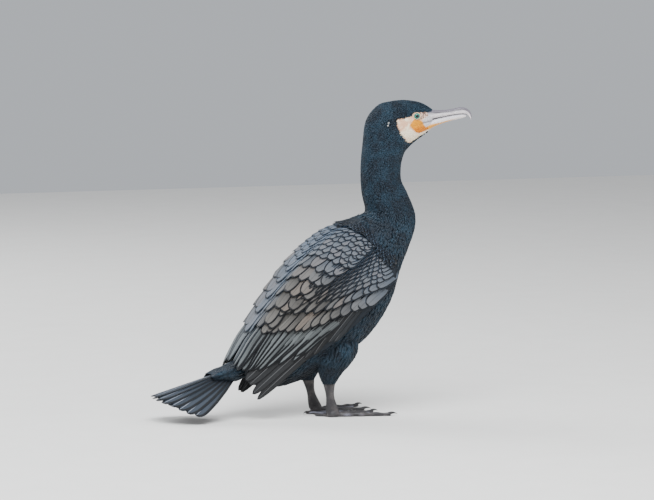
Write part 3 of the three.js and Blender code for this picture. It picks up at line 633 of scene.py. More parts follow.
class Finish:
    """A surface finish made of nodes."""

    def __init__(self, name):
        self.material = bpy.data.materials.new(name)
        self.material.use_nodes = True
        self.tree = self.material.node_tree
        self.shader = self.tree.nodes["Principled BSDF"]

    def put(self, socket, value):
        if isinstance(value, Signal):
            self.tree.links.new(value.socket, socket)
        else:
            socket.default_value = value

    def node(self, kind, settings=None, inputs=None, output=0):
        node = self.tree.nodes.new(kind)
        for name, value in (settings or {}).items():
            setattr(node, name, value)
        for key, value in (inputs or {}).items():
            self.put(node.inputs[key], value)
        return Signal(self, node.outputs[output])

    def maths(self, operation, first, second=0.0):
        return self.node("ShaderNodeMath", {"operation": operation}, {0: first, 1: second})

    def mark(self, name):
        return self.node("ShaderNodeAttribute", {"attribute_name": name}, output="Fac")

    def marks(self, names):
        return [self.mark(name) for name in names.split()]

    def place(self, scale=(1, 1, 1), turn=(0, 0, 0)):
        here = self.node("ShaderNodeTexCoord", output="Object")
        return self.node("ShaderNodeMapping", inputs={"Vector": here, "Scale": scale, "Rotation": turn})

    def noise(self, where, scale, detail=2.0, rough=0.5):
        return self.node("ShaderNodeTexNoise", inputs={"Vector": where, "Scale": scale, "Detail": detail,
                                                       "Roughness": rough})

    def cells(self, where, scale, feature="F1"):
        return self.node("ShaderNodeTexVoronoi", {"feature": feature}, {"Vector": where, "Scale": scale})

    def rise(self, value, low, high):
        return self.node("ShaderNodeMapRange", {"interpolation_type": "SMOOTHSTEP"},
                         {"Value": value, "From Min": low, "From Max": high})

    def blend(self, factor, first, second):
        return self.node("ShaderNodeMix", {"data_type": "RGBA"}, {0: factor, 6: first, 7: second}, output=2)

    def vector(self, x, y, z=0.0):
        return self.node("ShaderNodeCombineXYZ", inputs={0: x, 1: y, 2: z})

    def bump(self, height, distance, strength=1.0):
        return self.node("ShaderNodeBump", inputs={"Height": height, "Distance": distance,
                                                   "Strength": strength})

    def surface(self, **values):
        for name, value in values.items():
            self.put(self.shader.inputs[name.replace("_", " ")], value)
        return self.material


def colour(red, green, blue):
    return (red, green, blue, 1.0)


BLUE_BLACK = colour(0.003, 0.006, 0.011)
# TEAL is painted sheen: the gloss of the blue-black feathers, painted as teal patches
TEAL = colour(0.011, 0.03, 0.049)
SOOT = colour(0.0015, 0.002, 0.0035)
# SLATE colours the painted glints on the coat and the painted sky reflection on flight, primary and tail
# feathers; PALE_SLATE colours the mantle's pale feather edges and the painted sky reflection on the coverts
SLATE = colour(0.05, 0.077, 0.11)
PALE_SLATE = colour(0.1, 0.14, 0.2)
BRONZE = colour(0.105, 0.098, 0.09)
SILVER = colour(0.115, 0.127, 0.13)


def plumage():
    """The blue-black coat of head, neck, breast and belly, darker and greyer on the mantle, with painted teal
    sheen, painted glints and painted shade.
    """
    f = Finish("blue_black_plumage")
    across, along, tone, mantle, pale, painted_shade = f.marks("across along tone mantle pale shade")
    where = f.place()
    cloud = f.rise(f.noise(where, 45, 4), 0.36, 0.66)
    # painted glints: fine light specks, more of them towards the feathers' tips
    painted_glint = f.rise(f.noise(where, 520, 2), 0.52, 0.7)
    side = f.maths("ABSOLUTE", across)
    # painted sheen: teal in cloudy patches over the blue-black
    painted_sheen = f.blend(cloud * 0.6 + tone * 0.3, BLUE_BLACK, TEAL)
    barbs = f.node("ShaderNodeTexWave", {"bands_direction": "Y"},
                   {"Vector": f.vector(across * 0.3, along - side * 0.35), "Scale": 5.5, "Distortion": 0.8})
    with_glints = f.blend(painted_glint * f.rise(along, 0.2, 0.9) * 0.5, painted_sheen, SLATE)
    scale_edge = f.rise(side * 0.7 + along * 0.9, 0.95, 1.3)
    grey = f.blend(scale_edge * (0.15 + tone * 0.45), f.blend(cloud, SOOT, BLUE_BLACK), PALE_SLATE)
    shade = f.blend(mantle, with_glints, grey)
    shade = f.blend(pale, shade, colour(0.75, 0.72, 0.66))
    # painted shade under the belly, down the thighs and under the tail's root
    shade = f.blend(painted_shade * 0.75, shade, colour(0.003, 0.004, 0.006))
    return f.surface(
        Base_Color=shade, Roughness=0.38 + 0.14 * barbs + 0.1 * tone, Specular_IOR_Level=0.2,
        Sheen_Weight=0.02, Sheen_Roughness=0.4, Normal=f.bump(barbs, 0.0002, 0.35))


def vane_finish(name, centre, edge, rim_low, rim_high, painted_sky_reflection, shaft, streak, warm=0.0):
    """A vane: a pale middle, a dark glossy border, a shaft line, and fine barbs that run out from it, with
    painted sky reflection over the middle and a painted highlight on the border's outer edge, as much as its
    blue mark says. rim_low and rim_high are where its border fades, and streak how plain its shaft is."""
    f = Finish(name)
    across, along, tone, rim, blue = f.marks("across along tone rim blue")
    side = f.maths("ABSOLUTE", across)
    barb_way = f.vector(across * 0.4 + tone * 7, along - side * 0.16, tone * 31)
    barbs = f.noise(barb_way, 46, 2, 0.6)
    fine = f.node("ShaderNodeTexWave", {"bands_direction": "Y"},
                  {"Vector": f.vector(0.0, along - side * 0.16), "Scale": 22, "Distortion": 1.2,
                   "Detail": 1.0})
    cloud = f.noise(f.place(), 55, 2)
    middle = f.blend(f.rise(barbs * 0.5 + tone * 0.5 + f.rise(along, 0.2, 0.95) * 0.5, 0.4, 1.1),
                     [c * 0.4 for c in centre[:3]] + [1.0], centre)
    middle = f.blend(f.rise(tone, 0.6, 0.95) * warm, middle, colour(0.13, 0.1, 0.08))
    # painted sky reflection, bluish over the middle where the blue mark is set
    middle = f.blend(blue * (0.35 + 0.65 * cloud), middle, painted_sky_reflection)
    border = 1 - f.rise(rim + (barbs - 0.5) * 0.5, rim_low, rim_high)
    # painted highlight along the border's outer edge
    painted_edge_highlight = (1 - f.rise(rim, 0.05, 0.28)) * blue
    shade = f.blend(border, middle, edge)
    shade = f.blend(painted_edge_highlight * 0.8, shade, colour(0.05, 0.1, 0.17))
    line = 1 - f.rise(side, 0.02, 0.075)
    shade = f.blend(line * streak, shade, shaft)
    return f.surface(
        Base_Color=shade, Roughness=0.38 + 0.2 * barbs + 0.12 * (1 - border), Specular_IOR_Level=0.22,
        Normal=f.bump(fine * 0.6 + barbs, 0.00025, 0.6))


def bare_skin():
    """The skin under the coat, with its bare face: pinkish white behind, orange yellow under the eye, and
    painted shade in the crease of the gape.
    """
    f = Finish("face_and_body_skin")
    where = f.place()
    white, yellow, deep, dusky, horny, gape = f.marks("white yellow deep dusky horny gape")
    grain = f.cells(where, 900)
    blush = f.noise(where, 120, 3)
    pink, cream = colour(0.62, 0.36, 0.23), colour(0.78, 0.66, 0.49)
    flesh = f.blend(f.rise(blush + deep * 0.2, 0.42, 0.72), pink, cream)
    gold = f.blend(deep, colour(0.62, 0.235, 0.0), colour(0.52, 0.15, 0.0))
    streak = f.rise(f.noise(f.place((1, 1, 2.5), (0, 0.5, 0)), 170, 2), 0.45, 0.75)
    gold = f.blend(streak * 0.5, gold, colour(0.34, 0.085, 0.0))
    shade = f.blend(white, BLUE_BLACK, flesh)
    shade = f.blend(yellow, shade, gold)
    wart, between_warts = colour(0.13, 0.075, 0.06), colour(0.62, 0.42, 0.33)
    mottled = f.blend(f.rise(f.noise(where, 420, 2), 0.42, 0.6), wart, between_warts)
    shade = f.blend(dusky, shade, mottled)
    shade = f.blend(horny, shade, f.blend(blush, colour(0.3, 0.28, 0.31), colour(0.58, 0.55, 0.56)))
    # painted shade in the crease of the gape
    shade = f.blend(gape * 0.85, shade, colour(0.035, 0.03, 0.03))
    return f.surface(Base_Color=shade, Roughness=0.55 - 0.1 * white, Specular_IOR_Level=0.25,
                     Normal=f.bump(grain + blush, 0.0006, 0.45))


def horn(name, dark, pale, warm):
    """Bill horn: painted shade in its groove and on its lips, pale on the sides, yellow under the base."""
    f = Finish(name)
    along, low, groove, lip, is_warm = f.marks("along low groove lip warm")
    where = f.place()
    streaks = f.noise(f.place((1, 1, 6), (0, 0.12, 0)), 90, 3, 0.6)
    mottle = f.rise(f.noise(where, 160, 3), 0.35, 0.75)
    body = f.blend(f.rise(low + (streaks - 0.5) * 0.4, 0.28, 0.62), dark, pale)
    body = f.blend(mottle * 0.3, body, dark)
    # painted shade on the lips, where the bill's halves meet
    body = f.blend(lip * 0.85, body, colour(0.03, 0.026, 0.028))
    # painted shade in the groove
    body = f.blend(groove * 0.75, body, colour(0.05, 0.045, 0.05))
    deeper = low + 0.3 * (1 - f.rise(along, 0.0, 0.3))
    body = f.blend(f.rise(deeper, 0.62, 0.85) * (1 - f.rise(along, 0.35, 0.6)) * is_warm, body, warm)
    return f.surface(Base_Color=body, Roughness=0.3 + 0.2 * mottle, Coat_Weight=0.15, Coat_Roughness=0.2,
                     Normal=f.bump(streaks + mottle * 0.5, 0.0004, 0.35))


def iris():
    """An emerald iris with darker rings round a black pupil, under a clear wet coat."""
    f = Finish("emerald_eye")
    ring = f.mark("ring")
    spokes = f.noise(f.place(), 1500, 2)
    green = f.blend(f.rise(spokes, 0.35, 0.7), colour(0.0, 0.11, 0.08), colour(0.02, 0.34, 0.26))
    green = f.blend(f.rise(ring, 0.68, 0.8), green, colour(0.001, 0.012, 0.012))
    shade = f.blend(1 - f.rise(ring, 0.43, 0.5), green, colour(0.001, 0.001, 0.001))
    return f.surface(Base_Color=shade, Roughness=0.2, Specular_IOR_Level=0.2, Coat_Weight=0.6,
                     Coat_Roughness=0.03)


def lid():
    """The beaded, pale orange skin of the lids."""
    f = Finish("lid_skin")
    beads = f.cells(f.place(), 1100)
    shade = f.blend(f.rise(beads, 0.1, 0.6), colour(0.3, 0.15, 0.08), colour(0.62, 0.42, 0.26))
    return f.surface(Base_Color=shade, Roughness=0.5, Normal=f.bump(beads, 0.0005, 0.6))


def leg_skin():
    """Scaly dark grey-purple toes and shanks, paler and finely folded webs."""
    f = Finish("scaly_foot_skin")
    web, claw = f.marks("web claw")
    where = f.place()
    scutes = f.cells(f.place((1, 1, 1.6)), 300, "DISTANCE_TO_EDGE")
    net = f.cells(where, 620, "DISTANCE_TO_EDGE")
    seam = 1 - f.rise(scutes * (1 - web) + net * web, 0.02, 0.12)
    dust = f.rise(f.noise(where, 75, 4), 0.4, 0.75)
    toe = f.blend(dust, colour(0.016, 0.014, 0.016), colour(0.085, 0.073, 0.072))
    sheet = f.blend(dust, colour(0.13, 0.13, 0.17), colour(0.3, 0.3, 0.38))
    shade = f.blend(web, toe, sheet)
    shade = f.blend(seam * 0.55, shade, colour(0.018, 0.016, 0.02))
    shade = f.blend(claw, shade, colour(0.012, 0.01, 0.01))
    return f.surface(Base_Color=shade, Roughness=0.5 - 0.2 * claw, Normal=f.bump(1 - seam, 0.0006, 0.7))


def wing_lining():
    f = Finish("wing_lining")
    grain = f.noise(f.place((1, 1, 4)), 320, 3)
    return f.surface(Base_Color=f.blend(grain, colour(0.004, 0.006, 0.009), colour(0.013, 0.018, 0.026)),
                     Roughness=0.6, Specular_IOR_Level=0.2, Normal=f.bump(grain, 0.0005, 0.5))


PLUMAGE = plumage()
SKIN = bare_skin()
# the fifth colour of each vane finish is its painted sky reflection
COVERT = vane_finish("bronze_grey_covert", BRONZE, SOOT, 0.75, 1.15, PALE_SLATE,
                     colour(0.02, 0.02, 0.022), 0.5, 0.6)
FLIGHT = vane_finish("grey_flight_feather", SILVER, SOOT, 0.8, 1.25, SLATE, colour(0.13, 0.14, 0.14), 0.6)
PRIMARY = vane_finish("dark_primary_feather", colour(0.016, 0.0165, 0.018), SOOT, 0.8, 1.25, SLATE,
                      colour(0.12, 0.12, 0.125), 0.7)
STEER = vane_finish("blue_grey_tail_feather", colour(0.03, 0.037, 0.05), SOOT, 0.8, 1.5, SLATE,
                    colour(0.3, 0.32, 0.37), 0.9)
LINING = wing_lining()

body = body_surface()
wing = wing_surface()
tail_root = tail_root_surface()


def wing_cover(step=7.0, margin=16, depth=6.0):
    """Search tree of places inside the folded wings, which hide the body under them."""
    a, g = np.meshgrid(np.arange(10, 246, step), np.arange(20, 190, step), indexing="ij")
    under = g < wing_edge(a) - margin
    points = wing.at(a[under], g[under], -depth)
    tree = KDTree(len(points) * 2)
    for i, point in enumerate(points):
        tree.insert(point, 2 * i)
        tree.insert(point * MIRROR, 2 * i + 1)
    tree.balance()
    return tree


COVER = wing_cover()


def uncovered(points, reach=13.0):
    return np.array([COVER.find(p)[2] > reach for p in points], bool)


# Outlines of the white, orange, horny and warty parts of the bare face on the head's side view, the line of
# the gape from behind the eye to the bill, and the place of the ear's pale tuft
WHITE = [[119.8, 480.6], [120.8, 486.6], [123.6, 488.5], [138.9, 490.9], [144.9, 491.1], [149, 489],
         [157, 488], [168, 490], [190, 494], [196, 470], [176.6, 465], [153, 450.5], [146.5, 446.5],
         [138.1, 447.6], [131.3, 455.1], [124.6, 463.9], [121.8, 471.6]]
YELLOW = [[140.7, 476.2], [147.4, 484.6], [149.4, 486.5], [157.2, 485.6], [162.9, 482.1], [165.7, 479.3],
          [166.7, 476.1], [169.6, 473.3], [178, 474], [190, 479], [184, 472.5], [168.9, 466.3],
          [158.8, 462.6], [152, 463.8]]
HORN_BASE = [[162.4, 483.3], [166.7, 476.1], [169.6, 473.3], [176.2, 474.8], [190, 478], [190, 497],
             [179, 495], [166.9, 487]]
BROW_SKIN = [[151, 497.5], [158.5, 498.6], [170, 498.2], [179.5, 497], [184, 492], [169.4, 487.6],
             [159.8, 484.6]]
GAPE = np.array([[148, 472.9], [163, 479], [176, 482.2], [190, 484.6]])
EAR = (108.5, 482)


def side_view(points):
    """Each point's place on the head's side view, and how far it is from the eye there."""
    straight = turned(points, back=True)
    x, z = straight[..., 0], straight[..., 2]
    return x, z, np.hypot(x - EYE["at"][0], z - EYE["at"][1])


def face_marks(points):
    """The face's markings at points of the skin."""
    x, z, from_eye = side_view(points)
    ragged = 0.8 * np.sin(x * 0.9 + z * 0.7) + 0.6 * np.sin(z * 1.7 - x * 0.5)
    up = z > HEAD_FROM
    white = smoothstep(depth_inside(WHITE, x, z) + ragged, -0.6, 0.8) * up
    yellow = smoothstep(depth_inside(YELLOW, x, z), -0.6, 0.7) * up
    deep = smoothstep(478 - z + (x - 165) * 0.25, -1, 7)
    dusky = smoothstep(depth_inside(BROW_SKIN, x, z), -0.5, 1.5) * up
    horny = smoothstep(depth_inside(HORN_BASE, x, z), -0.4, 0.5) * up
    white = np.maximum(white, (1 - smoothstep(from_eye, 6.6, 8.0)) * up)
    white = np.maximum(white, np.maximum(dusky, horny))
    yellow = yellow * (1 - horny) * smoothstep(from_eye, 5.6, 6.6)
    # the crease along the gape dents the skin; its dark end towards the bill is painted shade
    crease = np.exp(-((z - np.interp(x, *GAPE.T)) / 1.1) ** 2) * (x > 146) * up
    return {"white": white, "yellow": yellow, "deep": deep, "dusky": dusky * (1 - horny), "horny": horny,
            "crease": crease, "gape": crease * smoothstep(x, 158, 166)}


def bare(points):
    """Where the face has no feathers."""
    marks = face_marks(points)
    return (marks["white"] > 0.4) | (marks["yellow"] > 0.4)


def make_skin():
    """One closed skin over body, thighs and tail root, a coat's depth inside the feathers."""
    t = np.linspace(0, len(BODY) - 1, 220)
    turns = once_round(120)[None, :]
    parts = [capped_rings(turned(on_loft(BODY, t[:, None], turns, -COAT)))]
    for leg in LEGS:
        parts.append(capped_rings(thigh_surface(leg, -COAT).at(np.linspace(0, 5, 60)[:, None], turns)))
    way = np.linspace(TAIL_ROOT[0, 0], TAIL_SKIN_END, 50)
    parts.append(capped_rings(tail_root.at(way[:, None], turns, -COAT)))
    skin, points = whole_skin("skin", parts, SKIN_GRAIN, 6)
    mesh = skin.data
    marks = face_marks(points)
    crease = marks.pop("crease")
    _, z, from_eye = side_view(points)
    socket = np.exp(-(from_eye / 7.5) ** 4) * (z > HEAD_FROM)
    straight = turned(points, back=True)
    straight[:, 1] *= 1 - 0.07 * crease
    straight[:, 1] *= 1 - 0.04 * socket
    set_points(mesh, turned(straight))
    mesh.update()
    set_marks(mesh, marks)
    bpy.ops.object.mode_set(mode="EDIT")
    bpy.ops.mesh.select_all(action="SELECT")
    bpy.ops.uv.smart_project(angle_limit=math.radians(80), island_margin=0.002)
    bpy.ops.object.mode_set(mode="OBJECT")
    mesh.uv_layers.active.name = "OFBake"
    skin.select_set(False)
    flesh = ["head", "face_patch", "neck_upper", "neck_lower", "torso", "thigh_right", "thigh_left"]
    return dress(skin, SKIN, flesh)


skin = make_skin()


def skin_map():
    """Search tree of every third face of the skin, with the face's place on the skin's own map."""
    mesh = skin.data
    centres = values_of(mesh.polygons, "center", 3)[::3]
    starts = values_of(mesh.polygons, "loop_start", 1, np.int32)[::3, 0]
    tree = KDTree(len(centres))
    for i, point in enumerate(centres):
        tree.insert(point, i)
    tree.balance()
    return tree, values_of(mesh.uv_layers["OFBake"].data, "uv", 2)[starts]


SKIN_TREE, SKIN_PLACES = skin_map()
PATCH = 0.0015  # half the size of a tuft's patch on the skin's map


def root_patches(gathered):
    """Each tuft's own small patch at its root's place on the skin's map."""
    roots = (np.concatenate(gathered.roots) + SHIFT) * 0.001
    nearest = [SKIN_TREE.find(root)[1] for root in roots]
    return np.repeat(SKIN_PLACES[nearest], TUFT_POINTS, axis=0) + np.concatenate(gathered.local) * PATCH


# Feather length along the body's stations from the bill's root to the tail's root
LENGTHS = ([0, 2, 4, 6, 8, 10, 11, 13, 15, 18], [2.6, 4.2, 5.6, 7, 8.5, 11, 13, 17, 20, 22])
COLUMNS = 128


def coat(name, *span):
    """The feathers of a length of the body."""
    length_at = lambda u: between(*LENGTHS, u)
    u, v = staggered(body, once_round(COLUMNS), span, lambda t: length_at(t) * 0.42)
    points = body.at(u, v)
    keep = uncovered(points) & ~bare(points)
    u, v, points = u[keep], v[keep], points[keep]
    pitch = body.pace("across", u, v) * 2 * math.pi / COLUMNS
    length = length_at(u) * rng.uniform(0.85, 1.15, len(u))
    width = np.clip(pitch * 2.4, 0.24 * length, 0.62 * length)
    x, z, _ = side_view(points)
    ear = (np.hypot((x - EAR[0]) / 1.3, (z - EAR[1]) / 2.6) < 1) & (points[:, 2] > HEAD_FROM)
    made = Gathered()
    tufts(made, body, u, v, length, width, between([0, 4, 8, 12, 18], [0.25, 0.4, 0.55, 0.9, 1.3], u),
          blunt=0.4, ridge=0.07, sway=0.08, pale=ear * 0.45,
          mantle=smoothstep(u, 10.2, 11.6) * smoothstep(np.cos(v), -0.1, 0.5),
          # painted shade under the belly
          shade=smoothstep(-np.cos(v), 0.2, 0.8) * smoothstep(u, 14.6, 15.8))
    make_piece(name, made, PLUMAGE)


coat("head_feathers", 0.02, 5.6)
coat("neck_feathers", 5.45, 9.3)
coat("breast_feathers", 9.15, 13.2)
coat("belly_feathers", 13.0, 17.95)


def thigh_feathers():
    made = Gathered()
    for leg in LEGS:
        surface = thigh_surface(leg)
        u, v = staggered(surface, once_round(44), (0.35, 4.9), lambda t: np.interp(t, [0, 5], [6.5, 3.6]))
        length = np.interp(u, [0, 5], [18, 10]) * rng.uniform(0.85, 1.15, len(u))
        tufts(made, surface, u, v, length, length * 0.42, 0.9, blunt=0.3, ridge=0.08, sway=0.14,
              # painted shade, darker down the thigh
              shade=0.35 * smoothstep(u, 0, 3))
    make_piece("thigh_feathers", made, PLUMAGE)


thigh_feathers()


def vane_shape(u, taper):
    end = np.where(u < taper, 1, np.sqrt(np.maximum(1 - ((u - taper) / (1 - taper)) ** 2, 0)))
    return smoothstep(u, -0.3, 0.3) * np.maximum(end, 0.02)


def on_line(line, share):
    """A point of a smooth curve through the line's points."""
    points = np.array(line, float)
    last = len(points) - 1
    place = last * share
    i = min(int(place), last - 1)
    w = place - i
    p0, p1 = points[max(i - 1, 0)], points[i]
    p2, p3 = points[i + 1], points[min(i + 2, last)]
    v0, v1 = (p2 - p0) / 2, (p3 - p1) / 2
    return ((2 * p1 - 2 * p2 + v0 + v1) * w ** 3 + (-3 * p1 + 3 * p2 - 2 * v0 - v1) * w ** 2 + v0 * w + p1)


VANE_ROWS, VANE_COLUMNS = 15, 9
VANE_FACES = plate_faces(VANE_ROWS, VANE_COLUMNS)
MAP_CELLS = 20  # along each side of the vanes' colour map


def vane(made, place_on, length, half_at, taper, rim, blue, outer=0.0):
    """One large feather as a thin closed plate with its own cell of the colour map. place_on(u, v, half,
    lift) is where it lies, half_at(u) its half width, and outer how much wider its border is on one side."""
    line, column = divmod(len(made.points), MAP_CELLS)
    row, v = lattice(VANE_ROWS, VANE_COLUMNS)
    u = 1 - (1 - row) ** 1.5
    half = half_at(u) * vane_shape(u, taper)
    shaft = 0.3 * np.exp(-(v / 0.1) ** 2) * (1 - 0.7 * u)
    points = np.concatenate([place_on(u, v, half, lift).reshape(-1, 3)
                             for lift in (shaft + VANE / 2, -VANE / 2)])
    edge = np.minimum((1 - np.abs(v)) * half - np.where(v > 0, outer * half, 0), (1 - u) * length * 0.8)
    marks = {"across": v, "along": u, "rim": edge / rim}
    marks = {name: np.tile(values.ravel(), 2) for name, values in marks.items()}
    # blue is the vane's share of painted sky reflection
    made.add(points, outward(points, VANE_FACES), tone=rng.uniform(0, 1), blue=blue, **marks)
    spot = np.stack([column + 0.5 + 0.46 * v, line + 0.04 + 0.92 * u], -1).reshape(-1, 2) / MAP_CELLS
    made.cells += [spot, spot]


def wing_vanes(kinds, side):
    """The vanes of some tiers of one wing."""
    made = Gathered()
    for tier in TIERS:
        if tier.kind not in kinds:
            continue
        large = tier.kind in ("flight", "primary")
        last = tier.count - 1
        for index in range(tier.count):
            root, tip = (on_line(line, index / last) for line in (tier.roots, tier.tips))
            way = (tip - root) / np.linalg.norm(tip - root)
            back = -tier.uneven * (index % 2) + rng.uniform(-0.3, 0.3) * tier.uneven
            root, tip = root + way * back * 0.5, tip + way * back
            across = np.array([-way[1], way[0]])
            swing = rng.uniform(-0.03, 0.03)
            pitch = [abs(np.dot(on_line(line, 1.0) - on_line(line, 0.0), across)) / last
                     for line in (tier.roots, tier.tips)]
            length = np.linalg.norm(tip - root)

            def half_at(u):
                return (pitch[0] + (pitch[1] - pitch[0]) * u) * tier.lap / 2

            def place_on(u, v, half, lift):
                sideways = v * half + swing * u * u * length
                spot = root + (tip - root) * u[..., None] + across * sideways[..., None]
                a, g = spot[..., 0], spot[..., 1]
                off = SINK + (tier.rise - SINK) * (smoothstep(u, 0, 0.6) if large else u ** 0.8)
                off = off + tier.tilt * v * half - 0.035 * np.abs(v) ** 2 * half
                off = off - 6 * (1 - smoothstep(a, -10, 46))
                return wing.at(a, np.clip(g, 0.4, wing_edge(a)), off - CORE["below"] + lift)

            # painted sky reflection, bluer towards the bend and towards the midline
            down_back, out = (root + tip) / 2
            blue = float(np.clip(smoothstep(150 - down_back, 0, 110) * 0.55
                                 + smoothstep(46 - out, 0, 40) * 0.75, 0, 0.95))
            vane(made, place_on, length, half_at, tier.taper, tier.rim, blue * (0.35 if large else 1),
                 outer=0.1 if tier.kind == "flight" else 0.0)
    if side > 0:
        made.mirror()
    return made


def wing_core(side):
    """The thin form under the wing's feathers: thick over the arm, thin behind."""
    rows, columns = 34, 30
    row, v = lattice(rows, columns)
    share = (v + 1) / 2
    a = -16 + 274 * row
    g = 1.2 + (wing_edge(a) - CORE["inset"] - 1.2) * share
    rim = np.minimum(1, 0.25 + 5 * np.minimum(np.minimum(row, 1 - row), np.minimum(share + 0.2, 1 - share)))
    thick = (CORE["shoulder"] + (CORE["rear"] - CORE["shoulder"]) * smoothstep(a, 0, 230)) * rim
    points = np.concatenate([wing.at(a, g, -depth - bend_drop(a) - CORE["below"]).reshape(-1, 3)
                             for depth in (0 * thick, thick)]) * [1, -side, 1]
    made = Gathered()
    made.add(points, outward(points, plate_faces(rows, columns)))
    return made


def wing_down(side):
    """Small feathers over the bend of the wing and the shoulder, which run into the coverts."""
    made = Gathered()
    u, v = staggered(wing, np.linspace(3, 168, 50), (-22, 60),
                     lambda a: np.interp(a, [-20, 60], [5.2, 7]), loose=0.08)
    low_end = np.interp(v, [0, 60, 90, 110, 140, 168], [8, 2, 3, 12, 14, 8])
    keep = (v < wing_edge(u) - 3) & (u < low_end)
    u, v = u[keep], v[keep]
    length = np.interp(u, [-20, 40], [11, 16]) * rng.uniform(0.95, 1.08, len(u))
    a, g = wing.u[:, None], wing.v[None, :]
    lifted = Surface(wing.u, wing.v, wing.at(a, g, -CORE["below"] - bend_drop(a) + 0 * g), WING_OUTWARD)
    tufts(made, lifted, u, v, length, length * 0.62, np.interp(u, [-20, 0, 34], [1.0, 3.4, 5.4]), blunt=0.4,
          ridge=0.03, sway=0.04, sink=0.8, mantle=smoothstep(u, -24, -8))
    if side > 0:
        made.mirror()
    return made


WING_PIECES = [("primaries_", ("primary",), PRIMARY), ("flight_feathers_", ("flight",), FLIGHT),
               ("coverts_", ("covert", "scapular"), COVERT)]
for side, word in SIDES:
    make_piece("wing_lining_" + word, wing_core(side), LINING, ["wing_" + word])
    for name, kinds, finish in WING_PIECES:
        make_piece(name + word, wing_vanes(kinds, side), finish)
    make_piece("shoulder_feathers_" + word, wing_down(side), PLUMAGE)


def tail():
    """The fan of the tail, from the middle pair out, and the small feathers over its root."""
    made = Gathered()
    half_at = lambda u: TAIL["half"] * (0.5 + 0.5 * smoothstep(u, 0, 0.7))
    for side in (1, -1):
        for pair in range(TAIL["pairs"]):
            share = pair / (TAIL["pairs"] - 1)
            middle = side * TAIL["spread"] * (0.07 + 0.93 * share)
            length = TAIL["long"] + (TAIL["short"] - TAIL["long"]) * share ** 1.6 + rng.uniform(-2, 2)

            def place_on(u, v, half, lift):
                way = TAIL["start"] + (length - TAIL["start"]) * u
                off = -1.25 * pair + v * side * 0.07 * half - 0.05 * v * v * half
                return on_tail(middle + v * half / way, way, off + lift)

            # a little painted sky reflection on the tail's feathers
            vane(made, place_on, length, half_at, taper=0.82, rim=3.4, blue=0.12, outer=0.1)
    make_piece("tail_feathers", made, STEER, ["tail"])
    covers = Gathered()
    u, v = staggered(tail_root, once_round(40), (-1, 36), lambda way: np.interp(way, [0, 40], [5, 6]))
    length = np.interp(u, [0, 36], [18, 25]) * rng.uniform(0.85, 1.15, len(u))
    tufts(covers, tail_root, u, v, length, length * 0.34, 0.9, blunt=0.5, ridge=0.06, sway=0.06,
          # painted shade under the tail's root
          mantle=0.75 * smoothstep(np.cos(v), 0, 0.4), shade=0.6 * smoothstep(-np.cos(v), 0, 0.5))
    make_piece("tail_coverts", covers, PLUMAGE)


tail()


def bill_half(name, table, upper, node, finish):
    """One half of the bill, with its lips, and the groove along the side of the upper one, both marked for
    painted shade.
    """
    t = np.linspace(0, len(table) - 1, 90)[:, None]
    angle = once_round(64)[None, :]
    points = on_loft(table, t, angle)
    side_way = np.abs(angle) + 0 * t
    groove_at, groove_width = 1.25, 0.13
    # the groove: a dent in the side of the upper half, with painted shade in it
    groove = np.exp(-((side_way - groove_at) / groove_width) ** 2)
    groove = groove * (smoothstep(t, 0.4, 1.5) - smoothstep(t, 5.2, 6.4)) * upper
    lip_at = 2.75 if upper else 0.5
    # painted shade along the lips, where the bill's halves meet
    lip_shade = smoothstep(side_way, 2.35, 2.6) if upper else 1 - smoothstep(side_way, 0.3, 0.55)
    points[..., 1] *= 1 - 0.11 * groove + 0.03 * np.exp(-((side_way - lip_at) / 0.2) ** 2)
    rings, faces = capped_rings(turned(points))
    marks = {"along": t / (len(table) - 1), "low": (1 - np.cos(side_way)) / 2, "groove": groove,
             "lip": lip_shade}
    for key, values in marks.items():
        marks[key] = np.append(np.broadcast_to(values, side_way.shape).ravel(), [0.5, 0.5])
    made = Gathered()
    made.add(rings, faces, warm=0.0 if upper else 1.0, **marks)
    make_piece(name, made, finish, [node])


bill_half("upper_mandible", BILL_UPPER, 1, "bill_upper",
          horn("upper_bill_horn", colour(0.13, 0.115, 0.14), colour(0.66, 0.61, 0.63),
               colour(0.6, 0.45, 0.3)))
bill_half("lower_mandible", BILL_LOWER, 0, "bill_lower",
          horn("lower_bill_horn", colour(0.5, 0.47, 0.5), colour(0.68, 0.62, 0.61),
               colour(0.62, 0.25, 0.0)))


def head_half(x, z):
    """Where the side of the head is at a place of its side view."""
    points = on_loft(BODY, np.arange(0, NAPE, 0.02)[:, None], np.arange(0.3, 2.9, 0.03)[None, :])
    off = np.hypot(points[..., 0] - x, points[..., 2] - z)
    return points[np.unravel_index(np.argmin(off), off.shape)][1]


EYE_DEPTH = head_half(*EYE["at"]) - EYE["sunk"]


def on_head(points, side):
    """Points drawn round +Y at the origin, brought to the eye's place on one side of the head."""
    return turned(points * [1, side, 1] + [EYE["at"][0], side * EYE_DEPTH, EYE["at"][1]])


def eye_ball(side):
    polar = np.linspace(0.002, math.pi - 0.002, 60)[:, None]
    around = once_round(64, 0)[None, :]
    reach = EYE["radius"] * (1 + 0.035 * np.exp(-(polar / 0.6) ** 4))
    ball = stacked(reach * np.sin(polar) * np.cos(around), reach * np.cos(polar),
                   reach * np.sin(polar) * np.sin(around))
    ring = np.where(polar < math.pi / 2, np.sin(polar), 1) + 0 * around
    points, faces = capped_rings(ball)
    points = on_head(points, side)
    made = Gathered()
    made.add(points, outward(points, faces), ring=np.append(ring.ravel(), [0.0, 1.0]))
    return made


